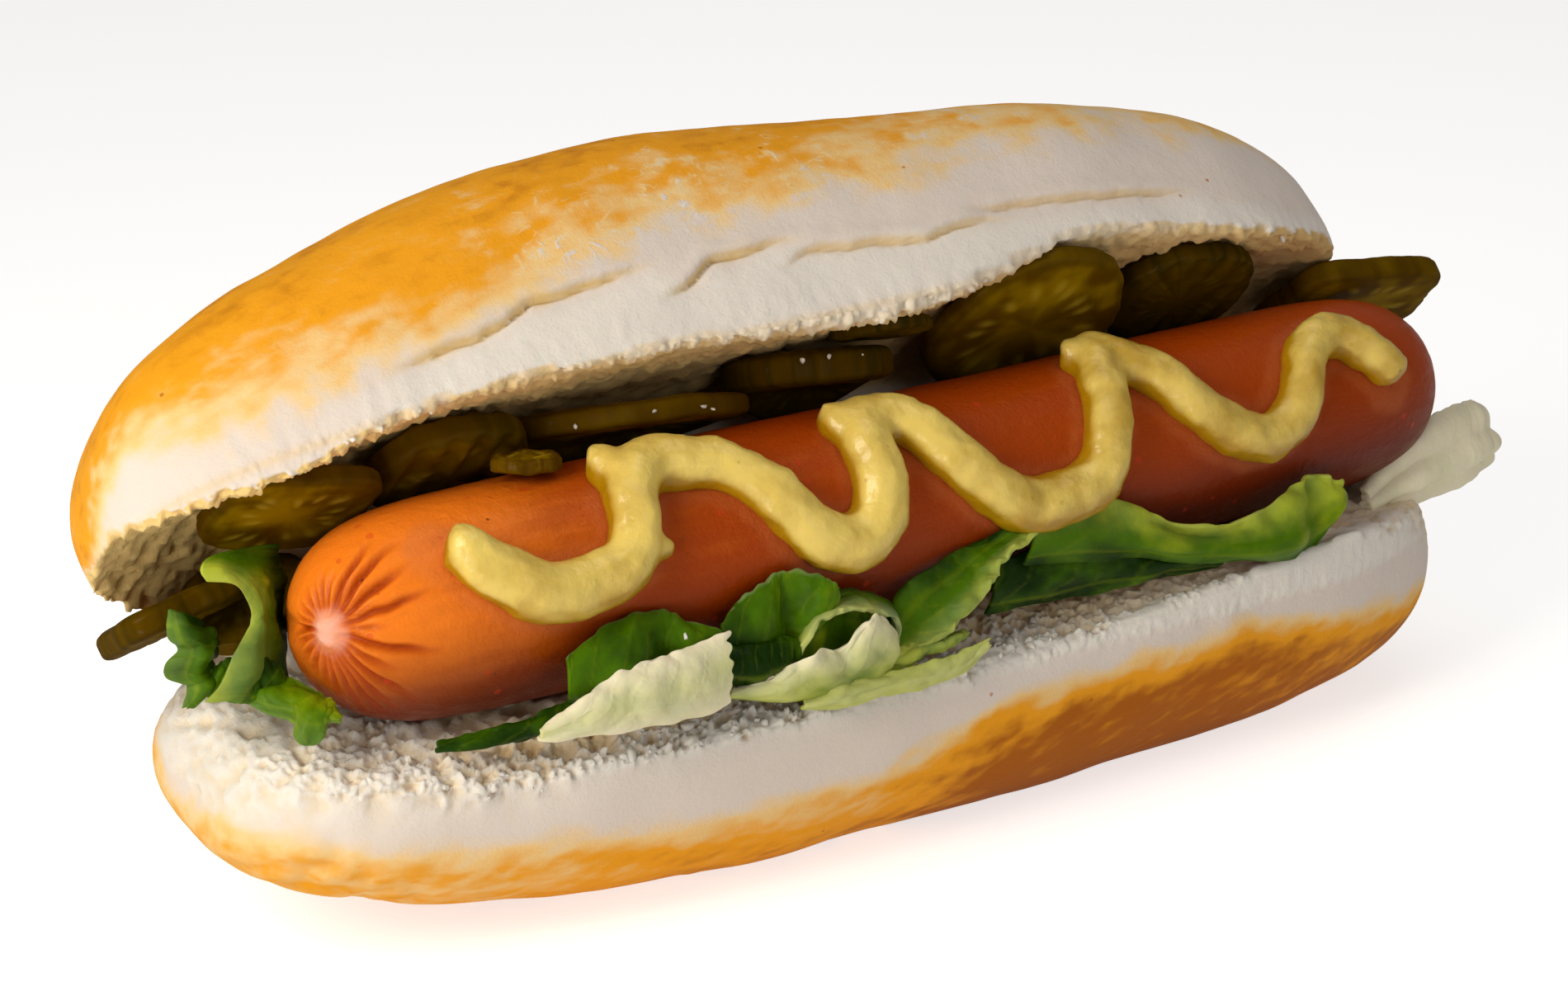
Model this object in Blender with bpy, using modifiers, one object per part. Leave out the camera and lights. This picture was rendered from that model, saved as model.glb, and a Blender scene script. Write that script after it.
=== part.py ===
"""A hot dog: a soft split roll that holds a sausage with mustard, pickle slices and lettuce.

Sizes are in millimetres and become metres as each mesh is made. X runs along the roll, Y towards
its uncut back and Z up. The origin is the middle of the flat underside that the roll rests on.
"""

import math

import bmesh
import bpy
from mathutils import Vector

MM = 0.001
TINY = 1e-6
DENT_GAP = 0.4  # between the roll and what it was pressed against

# Roll: two half loaves that stay joined along the back. Places in its section are (Y, Z).
BASE_LIP = (-28.0, 22.6)
BASE_CUT_RISE = math.radians(10.0)
BASE_DEPTH = 28.6
BASE_ENDS = (-86.5, 77.5)
BASE_WIDEST_X = 2.0
BASE_HOLLOW = -3.0
BASE_PLAN_POWERS = (3.0, 5.0)
BASE_BULGE = 0.07
BASE_SWELL = (-72.0, 28.0, -2.0)
BASE_LIP_BUMPS = ((57.0, 30.0, -5.0), (-85.0, 14.0, -2.5))
LID_LIP = (-16.3, 65.7)
LID_CUT_RISE = math.radians(-46.0)
LID_DEPTH = 32.5
LID_ENDS = (-97.0, 74.5)
LID_WIDEST_X = -6.0
LID_HOLLOW = 5.0
LID_PLAN_POWERS = (2.6, 3.0)
LID_BULGE = 0.015
LID_SWELL = (-32.0, 38.0, 3.8)
LID_LIP_BUMPS = ((28.0, 18.0, 4.0), (-6.0, 18.0, -2.5), (-92.0, 14.0, -4.0))
HALF_WIDTH = 26.0
SECTION_POWER = 2.8
LOAF_SEGMENTS = 32
LOAF_RINGS = 22
DOUGH_WAVE = 0.5
HINGE_CENTRE = (17.0, 35.0)
HINGE_RADII = (14.0, 14.0)
HINGE_HALF_LENGTH = 80.0
HINGE_TURN_IN = 9.0

# Sausage
SAUSAGE_RADIUS = 12.5
SAUSAGE_HALF_LENGTH = 81.0
SAUSAGE_AXIS = (-12.0, 40.0)
SAUSAGE_END_POWER = 13.0
SAUSAGE_SEGMENTS = 28
SAUSAGE_RINGS = 17
SAUSAGE_MIDDLE_CUTS = 4
SAUSAGE_BOW = 0.6

# Mustard: one piped line that zigzags over the sausage, as (along X, degrees round from the top).
MUSTARD_RADIUS = 3.7
MUSTARD_RISE = 1.7
MUSTARD_CLEARANCE = 0.45
MUSTARD_VOXEL = 1.4
MUSTARD_KEEP = 0.32
MUSTARD_ROUTE = (
    (-67, 38), (-63, 57), (-57, 71), (-50, 70), (-45, 50), (-42, 24), (-34, 24),
    (-28, 38), (-24, 64), (-18, 80), (-13, 68), (-12, 46), (-9, 26), (-4, 34),
    (0, 60), (6, 82), (13, 84), (19, 70), (23, 40), (25, 14), (30, 30),
    (36, 62), (43, 79), (49, 70), (54, 44), (60, 37), (65, 50), (67, 68),
)

# Pickles: name, centre, where the upper face looks, radius, width over length, thickness, sag
PICKLES = (
    ("pickle_left_end", (-87.5, 4.5, 38.6), (-0.18, 0.50, 0.85), 9.0, 1.0, 3.2, 0.0),
    ("pickle_left_inner", (-71.5, 8.0, 36.0), (0.0, 0.35, 0.94), 7.0, 0.9, 3.0, 0.0),
    ("pickle_left_upright", (-77.0, -3.0, 51.2), (0.12, 0.72, 0.68), 9.5, 1.0, 3.2, 0.0),
    ("pickle_ridged", (-57.5, -3.0, 52.3), (0.05, 0.72, 0.69), 9.5, 1.0, 4.2, 0.0),
    ("pickle_chip", (-52.0, -11.8, 54.0), (0.10, 0.10, 0.98), 4.2, 0.7, 2.0, 0.0),
    ("pickle_flat_left", (-33.0, -2.5, 53.0), (0.08, 0.36, 0.93), 15.5, 0.58, 3.4, 10.0),
    ("pickle_flat_right", (-8.0, -2.8, 54.2), (0.10, 0.34, 0.93), 11.0, 0.7, 4.6, 9.0),
    ("pickle_behind", (-1.0, -8.0, 59.4), (0.10, 0.40, 0.91), 6.5, 0.8, 2.0, 0.0),
    ("pickle_tall", (22.2, -5.5, 55.8), (0.10, 0.79, 0.61), 13.2, 1.0, 3.2, 0.0),
    ("pickle_dark", (46.6, -4.4, 54.8), (0.15, 0.74, 0.65), 10.0, 1.0, 3.6, 0.0),
    ("pickle_right_end", (80.0, -1.6, 47.6), (0.36, 0.66, 0.66), 13.5, 0.75, 4.2, 0.0),
)
PRESSED_IN = ("pickle_left_inner", "pickle_left_upright", "pickle_flat_left", "pickle_flat_right",
              "pickle_behind", "pickle_tall", "pickle_dark", "pickle_right_end")
PICKLE_SEGMENTS = 16
# Reach from the middle and height of each ring of a slice, as shares of radius and thickness
PICKLE_PROFILE = ((0.0, 0.5), (0.68, 0.5), (1.0, 0.27), (1.0, -0.27), (0.68, -0.5), (0.0, -0.5))

# Lettuce: each leaf is a strip between two edges, with a belly across it and ruffles along it.
# name, points of its lower edge, points of its upper edge, belly, ruffle height, ruffles
LEAF_THICKNESS = 0.9
LEAF_ALONG = 8
LEAF_ACROSS = 3
LEAVES = (
    ("lettuce_left_curl", ((-82, -9, 34), (-84, -8, 38), (-83, -6, 43), (-83, -4, 46)),
     ((-86, -4, 34), (-88, -5, 39), (-89, -5, 44), (-94, -5, 45)), 1.2, 0.3, 1),
    ("lettuce_left_frill", ((-87, -6, 33), (-88, -3, 32), (-87, 0, 31)),
     ((-92, -6, 35), (-93, -4, 36), (-93, -1, 35)), 1.2, 0.8, 2),
    ("lettuce_left_low", ((-88, -9, 31), (-86, -14, 30), (-82, -18, 30), (-77, -22, 29)),
     ((-85, -7, 32), (-83, -10, 32), (-79, -14, 31), (-74, -18, 28)), 0.4, 0.5, 2),
    ("lettuce_dark", ((-56.5, -26.5, 30), (-49.5, -27.5, 29), (-42.5, -27.5, 29), (-36.5, -27.5, 29)),
     ((-55.5, -25.5, 36), (-48.5, -25.5, 38), (-41.5, -25.5, 37), (-35.5, -26.5, 34)), 1.0, 0.4, 2),
    ("lettuce_strip", ((-67, -23, 27), (-60, -25, 28), (-53, -26, 28)),
     ((-67, -21, 28), (-60, -23, 29), (-53, -24, 30)), 0.3, 0.2, 1),
    ("lettuce_rib_shard", ((-63, -29, 28), (-54, -30, 28), (-46, -31, 28), (-38, -31, 28)),
     ((-59, -28, 32), (-51, -29, 34), (-44, -29, 36), (-37, -29, 37)), -0.5, 0.3, 2),
    ("lettuce_lobe", ((-34, -26, 29), (-29, -27, 29), (-24, -26, 30)),
     ((-35, -26, 37), (-29, -26, 41), (-23, -26, 38)), 1.0, 0.3, 1),
    ("lettuce_curl", ((-36, -30, 27), (-29, -31, 27), (-21, -31, 27), (-14, -29, 28)),
     ((-33, -29, 31), (-25, -29, 35), (-18, -28, 35), (-13, -27, 33)), 1.0, 0.6, 2),
    ("lettuce_light_strip", ((-25, -30, 24), (-17, -30, 24), (-8, -30, 24), (-1, -29, 26)),
     ((-19, -29, 26), (-12, -29, 26), (-6, -29, 27), (0, -28, 28)), 0.3, 0.3, 3),
    ("lettuce_long_curl", ((-11.5, -28, 27), (-3.5, -28, 27), (2.5, -27, 31), (7.5, -27, 35)),
     ((-12.5, -25, 31), (-4.5, -25, 33), (1.5, -25, 36), (5.5, -25, 38)), 0.5, 0.4, 3),
    ("lettuce_right", ((9.5, -27, 32), (21.5, -29, 31), (37.5, -29, 31), (51.5, -28, 30), (58.5, -25, 31)),
     ((9.5, -25, 35), (20.5, -25, 36), (33.5, -24, 34), (45.5, -25, 35), (56.5, -25, 36)), 0.6, 0.5, 3),
    ("lettuce_rib_right", ((67, -23.5, 27.5), (77, -20.5, 26.5), (87, -16.5, 26.5), (94, -14.5, 28.5)),
     ((71, -22.5, 32.5), (79, -19.5, 36.5), (85, -16.5, 37.5), (91, -13.5, 37.5)), 0.4, 0.0, 1),
)


def clear_scene():
    for obj in list(bpy.data.objects):
        bpy.data.objects.remove(obj, do_unlink=True)


def new_collection(name, hidden=False):
    collection = bpy.data.collections.new(name)
    bpy.context.scene.collection.children.link(collection)
    collection.hide_render = hidden
    return collection


def food_material(name, colour, roughness, coat=0.0):
    material = bpy.data.materials.new(name)
    material.use_nodes = True
    shader = material.node_tree.nodes["Principled BSDF"]
    shader.inputs["Base Color"].default_value = (*colour, 1.0)
    shader.inputs["Roughness"].default_value = roughness
    shader.inputs["Metallic"].default_value = 0.0
    shader.inputs["Coat Weight"].default_value = coat
    return material


def object_from(bm, name, material, collection):
    """Turns a bmesh in millimetres into an object in metres."""
    bmesh.ops.scale(bm, vec=(MM, MM, MM), verts=bm.verts)
    bmesh.ops.recalc_face_normals(bm, faces=bm.faces)
    mesh = bpy.data.meshes.new(name)
    bm.to_mesh(mesh)
    bm.free()
    mesh.shade_smooth()
    mesh.set_sharp_from_angle(angle=math.radians(50))
    mesh.materials.append(material)
    obj = bpy.data.objects.new(name, mesh)
    collection.objects.link(obj)
    return obj


def signed_power(value, power):
    return math.copysign(abs(value) ** power, value)


def smooth_curve(points, count):
    """Reads count points, evenly spread, from a smooth curve through the given ones."""
    points = [Vector(point) for point in points]
    last = len(points) - 1
    read = []
    for step in range(count):
        place = last * step / (count - 1)
        span = min(int(place), last - 1)
        t = place - span
        before = points[max(span - 1, 0)]
        start = points[span]
        end = points[span + 1]
        after = points[min(span + 2, last)]
        read.append(
            0.5 * (2 * start + (end - before) * t + (2 * before - 5 * start + 4 * end - after) * t * t
                   + (3 * start - before - 3 * end + after) * t ** 3)
        )
    return read


# ---------------------------------------------------------------- roll


def bump(x, middle, spread, height):
    """A smooth rise along the roll that is highest at its middle."""
    return height * math.exp(-(((x - middle) / spread) ** 2))


def half_loaf(lip, rise, depth, ends, widest_x, hollow, plan_powers, bulge, swell, lip_bumps, dome_up):
    """A half loaf: a domed crust over a slightly hollow cut face that tilts by rise."""
    bm = bmesh.new()
    bmesh.ops.create_uvsphere(bm, u_segments=LOAF_SEGMENTS, v_segments=LOAF_RINGS, radius=1)
    inward = Vector((math.cos(rise), math.sin(rise)))
    outward = Vector((-inward.y, inward.x)) * (1 if dome_up else -1)
    middle = Vector(lip) + inward * HALF_WIDTH
    for vert in bm.verts:
        along = vert.co.z
        ring = math.hypot(vert.co.x, vert.co.y)
        across = vert.co.x / ring if ring > TINY else 0.0
        high = vert.co.y / ring if ring > TINY else 0.0
        right = along > 0
        plan_power = plan_powers[right]
        reach = ends[right] - widest_x
        narrowed = ring ** (2 / plan_power)
        sunk = narrowed * max(0.0, high) ** (2 / SECTION_POWER)
        fuller = 1 + 4 * bulge * sunk * (1 - sunk)
        x = widest_x + reach * abs(along) ** (2 / plan_power) * fuller
        if high >= 0:
            v = HALF_WIDTH * signed_power(across, 2 / SECTION_POWER) * fuller
            w = (depth + bump(x, *swell)) * high ** (2 / SECTION_POWER)
            w += DOUGH_WAVE * high * (math.sin(x / 13 + across * 2) + math.sin(x / 29 - across))
        else:
            v = HALF_WIDTH * across
            w = hollow * (1 - across * across)
        lip_share = max(0.0, -across) ** 3 * (1 - max(0.0, high)) ** 2
        w += lip_share * sum(bump(x, *lip_bump) for lip_bump in lip_bumps)
        section = middle + (inward * v + outward * w) * narrowed
        vert.co = Vector((x, section.x, section.y))
    bmesh.ops.recalc_face_normals(bm, faces=bm.faces)
    return bm


def flatten_underside(bm):
    """Cuts the loaf off at Z = 0 and closes it with one flat face."""
    geometry = bm.verts[:] + bm.edges[:] + bm.faces[:]
    cut = bmesh.ops.bisect_plane(
        bm, geom=geometry, plane_co=(0, 0, 0), plane_no=(0, 0, 1), clear_inner=True
    )
    rim = [part for part in cut["geom_cut"] if isinstance(part, bmesh.types.BMEdge)]
    bmesh.ops.contextual_create(bm, geom=rim)


def hinge_strip():
    """The uncut bread along the back, which carries the lid and turns in with the crust at its ends."""
    bm = bmesh.new()
    bmesh.ops.create_uvsphere(bm, u_segments=16, v_segments=14, radius=1)
    for vert in bm.verts:
        ring = math.hypot(vert.co.x, vert.co.y)
        fullness = ring ** -0.4 if ring > TINY else 0.0
        x = HINGE_HALF_LENGTH * vert.co.z
        y = HINGE_CENTRE[0] + HINGE_RADII[0] * vert.co.x * fullness - HINGE_TURN_IN * vert.co.z ** 4
        z = HINGE_CENTRE[1] + HINGE_RADII[1] * vert.co.y * fullness
        vert.co = Vector((x, y, z))
    return bm


def combine(obj, other, operation, helpers):
    """Joins other to obj, or cuts it out of obj; other stays as a hidden helper."""
    step = obj.modifiers.new(other.name, "BOOLEAN")
    step.operation = operation
    step.solver = "EXACT"
    step.object = other
    other.hide_render = True
    other.display_type = "WIRE"
    for holder in other.users_collection:
        holder.objects.unlink(other)
    helpers.objects.link(other)


def make_roll(parts, helpers):
    crust = food_material("bun_crust", (0.78, 0.48, 0.22), 0.6)
    base = half_loaf(
        BASE_LIP, BASE_CUT_RISE, BASE_DEPTH, BASE_ENDS, BASE_WIDEST_X, BASE_HOLLOW,
        BASE_PLAN_POWERS, BASE_BULGE, BASE_SWELL, BASE_LIP_BUMPS, dome_up=False,
    )
    flatten_underside(base)
    roll = object_from(base, "bun", crust, parts)
    lid = half_loaf(
        LID_LIP, LID_CUT_RISE, LID_DEPTH, LID_ENDS, LID_WIDEST_X, LID_HOLLOW,
        LID_PLAN_POWERS, LID_BULGE, LID_SWELL, LID_LIP_BUMPS, dome_up=True,
    )
    combine(roll, object_from(lid, "lid_half", crust, helpers), "UNION", helpers)
    combine(roll, object_from(hinge_strip(), "hinge_strip", crust, helpers), "UNION", helpers)
    return roll


# ---------------------------------------------------------------- sausage


def sausage_bow(x):
    """How far the sausage's middle bows down at this place along it."""
    return -SAUSAGE_BOW * (1 - (x / SAUSAGE_HALF_LENGTH) ** 2)


def sausage_shape(grown):
    """A straight frankfurter with round ends that bows down a little, grown all over by this much."""
    bm = bmesh.new()
    bmesh.ops.create_uvsphere(bm, u_segments=SAUSAGE_SEGMENTS, v_segments=SAUSAGE_RINGS, radius=1)
    for vert in bm.verts:
        x = (SAUSAGE_HALF_LENGTH + grown) * signed_power(vert.co.z, 2 / SAUSAGE_END_POWER)
        y = SAUSAGE_AXIS[0] + (SAUSAGE_RADIUS + grown) * vert.co.x
        z = SAUSAGE_AXIS[1] + (SAUSAGE_RADIUS + grown) * vert.co.y
        vert.co = Vector((x, y, z))
    middle = [e for e in bm.edges if e.verts[0].co.x * e.verts[1].co.x < -1]
    bmesh.ops.subdivide_edges(bm, edges=middle, cuts=SAUSAGE_MIDDLE_CUTS)
    for vert in bm.verts:
        vert.co.z += sausage_bow(vert.co.x)
    return bm


def make_sausage(roll, parts, helpers):
    """Makes the sausage and leaves its bed in the roll."""
    skin = food_material("sausage_skin", (0.42, 0.11, 0.03), 0.35, 0.3)
    object_from(sausage_shape(0.0), "sausage", skin, parts)
    bed = object_from(sausage_shape(DENT_GAP), "bed_of_sausage", skin, helpers)
    combine(roll, bed, "DIFFERENCE", helpers)


# ---------------------------------------------------------------- mustard


def on_sausage(x, degrees, height):
    """The place at this height over the sausage's skin, degrees round from its top to the front."""
    turn = math.radians(degrees)
    reach = SAUSAGE_RADIUS + height
    y = SAUSAGE_AXIS[0] - reach * math.sin(turn)
    z = SAUSAGE_AXIS[1] + sausage_bow(x) + reach * math.cos(turn)
    return Vector((x, y, z))


def mustard_line():
    """The piped line as a curve with a round bead, thinner at both tips."""
    route = smooth_curve([(x, degrees, 0) for x, degrees in MUSTARD_ROUTE], 4 * len(MUSTARD_ROUTE))
    curve = bpy.data.curves.new("mustard_line", "CURVE")
    curve.dimensions = "3D"
    curve.bevel_depth = MUSTARD_RADIUS
    curve.bevel_resolution = 2
    curve.use_fill_caps = True
    spline = curve.splines.new("POLY")
    spline.points.add(len(route) - 1)
    for step, (point, place) in enumerate(zip(spline.points, route)):
        point.co = (*on_sausage(place.x, place.y, MUSTARD_RISE), 1)
        tip = min(step, len(route) - 1 - step) / 6
        point.radius = min(1.0, 0.6 + 0.4 * tip) * (1 + 0.08 * math.sin(step * 0.9))
    return curve


def make_mustard(parts):
    sauce = food_material("mustard_sauce", (0.56, 0.38, 0.10), 0.4, 0.2)
    curve = bpy.data.objects.new("mustard_line", mustard_line())
    parts.objects.link(curve)
    graph = bpy.context.evaluated_depsgraph_get()
    bead = bpy.data.meshes.new_from_object(curve.evaluated_get(graph))
    bpy.data.objects.remove(curve, do_unlink=True)
    bm = bmesh.new()
    bm.from_mesh(bead)
    bmesh.ops.remove_doubles(bm, verts=bm.verts, dist=0.001)
    bm.to_mesh(bead)
    bm.free()
    rough = bpy.data.objects.new("mustard_rough", bead)
    parts.objects.link(rough)
    merge = rough.modifiers.new("one body", "REMESH")
    merge.mode = "VOXEL"
    merge.voxel_size = MUSTARD_VOXEL
    fewer = rough.modifiers.new("fewer faces", "DECIMATE")
    fewer.ratio = MUSTARD_KEEP
    graph = bpy.context.evaluated_depsgraph_get()
    bm = bmesh.new()
    bm.from_object(rough, graph)
    bpy.data.objects.remove(rough, do_unlink=True)
    rest_on_skin(bm)
    return object_from(bm, "mustard", sauce, parts)


def rest_on_skin(bm):
    """Lifts whatever lies inside the sausage out to just above its skin."""
    for vert in bm.verts:
        centre = Vector((vert.co.x, SAUSAGE_AXIS[0], SAUSAGE_AXIS[1] + sausage_bow(vert.co.x)))
        out = vert.co - centre
        least = SAUSAGE_RADIUS + MUSTARD_CLEARANCE
        if out.length < least:
            vert.co = centre + out.normalized() * least


# ---------------------------------------------------------------- pickles


def make_pickle(name, centre, up, radius, narrowing, thickness, sag, parts, skin):
    """A round slice with a rounded rim and an uneven outline, which may sag at its back."""
    bm = bmesh.new()
    steps = len(PICKLE_PROFILE) - 1
    bmesh.ops.create_uvsphere(bm, u_segments=PICKLE_SEGMENTS, v_segments=steps, radius=1)
    up = Vector(up).normalized()
    side = Vector((0, 1, 0)).cross(up).normalized()
    back = up.cross(side)
    for vert in bm.verts:
        ring = round(math.acos(max(-1.0, min(1.0, vert.co.z))) / math.pi * steps)
        reach, height = PICKLE_PROFILE[ring]
        around = math.atan2(vert.co.y, vert.co.x)
        wobble = 1 + 0.03 * math.sin(3 * around + radius) + 0.02 * math.sin(5 * around)
        x = radius * reach * wobble * math.cos(around)
        y = radius * reach * wobble * math.sin(around) * narrowing
        z = thickness * height - sag * (max(0.0, y) / radius) ** 2
        vert.co = Vector(centre) + side * x + back * y + up * z
    return object_from(bm, name, skin, parts)


def press_into(roll, name, centre, up, radius, narrowing, thickness, sag, helpers, crumb):
    """Leaves a dent in the roll where this slice presses into the crumb."""
    grown = (radius + DENT_GAP, narrowing + DENT_GAP / radius, thickness + 2 * DENT_GAP, sag)
    dent = make_pickle("dent_of_" + name, centre, up, *grown, helpers, crumb)
    combine(roll, dent, "DIFFERENCE", helpers)


def make_pickles(roll, parts, helpers):
    skin = food_material("pickle_flesh", (0.16, 0.10, 0.01), 0.3, 0.4)
    for pickle in PICKLES:
        make_pickle(*pickle, parts, skin)
        if pickle[0] in PRESSED_IN:
            press_into(roll, *pickle, helpers, skin)


# ---------------------------------------------------------------- lettuce


def make_leaf(name, low, high, belly, ruffle, ruffles, parts, green):
    """A leaf spread between two edges, as a grid that Solidify makes thick."""
    bm = bmesh.new()
    bmesh.ops.create_grid(bm, x_segments=LEAF_ALONG, y_segments=LEAF_ACROSS, size=0.5)
    low = smooth_curve(low, LEAF_ALONG + 1)
    high = smooth_curve(high, LEAF_ALONG + 1)
    for vert in bm.verts:
        u = vert.co.x + 0.5
        v = vert.co.y + 0.5
        step = round(u * LEAF_ALONG)
        rise = high[step] - low[step]
        run = low[min(step + 1, LEAF_ALONG)] - low[max(step - 1, 0)]
        out = run.cross(rise).normalized()
        wave = ruffle * math.sin(2 * math.pi * ruffles * u + 2 * v) * v
        vert.co = low[step] + rise * v + out * (belly * math.sin(math.pi * v) + wave)
    leaf = object_from(bm, name, green, parts)
    wall = leaf.modifiers.new("thickness", "SOLIDIFY")
    wall.thickness = LEAF_THICKNESS * MM
    wall.offset = 0.0
    return leaf


def make_lettuce(parts):
    green = food_material("lettuce_leaf", (0.14, 0.24, 0.02), 0.4)
    for name, low, high, belly, ruffle, ruffles in LEAVES:
        make_leaf(name, low, high, belly, ruffle, ruffles, parts, green)


def main():
    clear_scene()
    parts = new_collection("hot_dog")
    helpers = new_collection("helpers", hidden=True)
    roll = make_roll(parts, helpers)
    make_sausage(roll, parts, helpers)
    make_mustard(parts)
    make_pickles(roll, parts, helpers)
    make_lettuce(parts)


main()
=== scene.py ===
"""Looks of a hot dog: a soft split roll with a frankfurter, piped mustard, pickle slices and lettuce.

Sizes are in millimetres and become metres as each mesh is written. X runs along the roll, Y towards
its uncut back and Z up.
"""

import logging
import math
from dataclasses import dataclass
from enum import Enum
from typing import Callable, Sequence

import bpy
import numpy as np
from mathutils import Matrix, Vector
from mathutils.kdtree import KDTree

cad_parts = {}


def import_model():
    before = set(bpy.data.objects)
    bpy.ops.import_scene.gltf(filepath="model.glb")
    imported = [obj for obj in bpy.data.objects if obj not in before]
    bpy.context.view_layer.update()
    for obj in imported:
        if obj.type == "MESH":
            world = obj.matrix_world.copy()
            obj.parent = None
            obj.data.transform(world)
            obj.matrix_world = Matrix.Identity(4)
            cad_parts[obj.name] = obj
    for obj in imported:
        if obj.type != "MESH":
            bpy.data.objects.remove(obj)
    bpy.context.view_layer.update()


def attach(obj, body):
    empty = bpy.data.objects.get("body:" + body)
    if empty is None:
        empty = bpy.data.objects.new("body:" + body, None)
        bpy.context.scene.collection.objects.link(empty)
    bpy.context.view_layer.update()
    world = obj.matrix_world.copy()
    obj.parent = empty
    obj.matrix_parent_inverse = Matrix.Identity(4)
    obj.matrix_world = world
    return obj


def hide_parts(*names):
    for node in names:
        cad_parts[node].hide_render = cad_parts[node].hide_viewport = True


LOG = logging.getLogger("hot_dog")
MM = 0.001
TINY = 1e-9
Colour = tuple[float, float, float]
Place = tuple[float, float, float]


# ---------------------------------------------------------------- numbers over whole arrays


def smooth_step(low: float, high: float, value: np.ndarray) -> np.ndarray:
    """Rises smoothly from 0 at low to 1 at high.

    Args:
        low: Where it is 0.
        high: Where it is 1.
        value: The numbers to read.

    Returns:
        A share from 0 to 1 for each number.
    """
    share = np.clip((value - low) / (high - low), 0.0, 1.0)
    return share * share * (3 - 2 * share)


def hump(value: np.ndarray, middle: float, spread: float) -> np.ndarray:
    """A smooth bell, 1 at its middle.

    Args:
        value: The numbers to read.
        middle: Where it is highest.
        spread: How wide it is.

    Returns:
        A share from 0 to 1 for each number.
    """
    return np.exp(-(((value - middle) / spread) ** 2))


def signed_power(value: np.ndarray, power: float) -> np.ndarray:
    """Raises the size of each number to a power and keeps its sign."""
    return np.sign(value) * np.abs(value) ** power


def unit(vectors: np.ndarray) -> np.ndarray:
    """Scales each row to length 1."""
    length = np.linalg.norm(vectors, axis=-1, keepdims=True)
    return vectors / np.maximum(length, TINY)


def curve_through(knots: Sequence[Sequence[float]], count: int) -> np.ndarray:
    """Reads a smooth curve through some knots.

    Args:
        knots: The points it passes through.
        count: How many points to read, evenly spread.

    Returns:
        One row for each point.
    """
    knots = np.array(knots, float)
    last = len(knots) - 1
    place = np.linspace(0, last, count)
    span = np.minimum(place.astype(int), last - 1)
    t = (place - span)[:, None]
    before = knots[np.maximum(span - 1, 0)]
    start = knots[span]
    end = knots[span + 1]
    after = knots[np.minimum(span + 2, last)]
    return 0.5 * (
        2 * start
        + (end - before) * t
        + (2 * before - 5 * start + 4 * end - after) * t**2
        + (3 * start - before - 3 * end + after) * t**3
    )


class Grain:
    """Repeatable noise, worked out for whole arrays of points at once."""

    def __init__(self, seed: int) -> None:
        """Makes the tables.

        Args:
            seed: Which noise it is.
        """
        source = np.random.default_rng(seed)
        order = source.permutation(256)
        self.order = np.concatenate([order, order, order[:2]])
        self.slopes = unit(source.normal(size=(256, 3)))
        self.spots = source.random((256, 3))

    def _pick(self, cell: np.ndarray) -> np.ndarray:
        """The table row of each lattice cell."""
        cell = cell & 255
        first = self.order[cell[:, 0]]
        second = self.order[first + cell[:, 1]]
        return self.order[second + cell[:, 2]]

    def smooth(self, points: np.ndarray) -> np.ndarray:
        """Smooth noise about 1 unit across.

        Args:
            points: Where to read it.

        Returns:
            A number from about -1 to 1 for each point.
        """
        cell = np.floor(points).astype(int)
        inside = points - cell
        fade = inside**3 * (inside * (inside * 6 - 15) + 10)
        total = np.zeros(len(points))
        for corner in np.ndindex(2, 2, 2):
            step = np.array(corner)
            near = np.where(step == 1, fade, 1 - fade).prod(axis=1)
            slope = self.slopes[self._pick(cell + step)]
            total += near * (slope * (inside - step)).sum(axis=1)
        return 1.6 * total

    def cloud(self, points: np.ndarray, octaves: int = 3, gain: float = 0.5) -> np.ndarray:
        """Smooth noise at several scales together.

        Args:
            points: Where to read it.
            octaves: How many scales, each half as wide as the last.
            gain: How strong each scale is beside the last.

        Returns:
            A number from about -1 to 1 for each point.
        """
        total = np.zeros(len(points))
        for octave in range(octaves):
            total += gain**octave * self.smooth(points * 2.0**octave + 17.3 * octave)
        return total

    def cells(self, points: np.ndarray) -> tuple[np.ndarray, np.ndarray]:
        """Distances to the nearest and the second nearest of spots strewn 1 unit apart.

        Args:
            points: Where to read it.

        Returns:
            The nearest distances and the second nearest.
        """
        cell = np.floor(points).astype(int)
        nearest = np.full(len(points), 9.0)
        second = np.full(len(points), 9.0)
        for step in np.ndindex(3, 3, 3):
            there = cell + np.array(step) - 1
            spot = there + self.spots[self._pick(there)]
            far = np.linalg.norm(points - spot, axis=1)
            second = np.minimum(second, np.maximum(far, nearest))
            nearest = np.minimum(nearest, far)
        return nearest, second


# ---------------------------------------------------------------- bench


def deselect_all() -> None:
    """Leaves nothing selected, in object mode."""
    if bpy.context.mode != "OBJECT":
        bpy.ops.object.mode_set(mode="OBJECT")
    bpy.ops.object.select_all(action="DESELECT")


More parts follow.
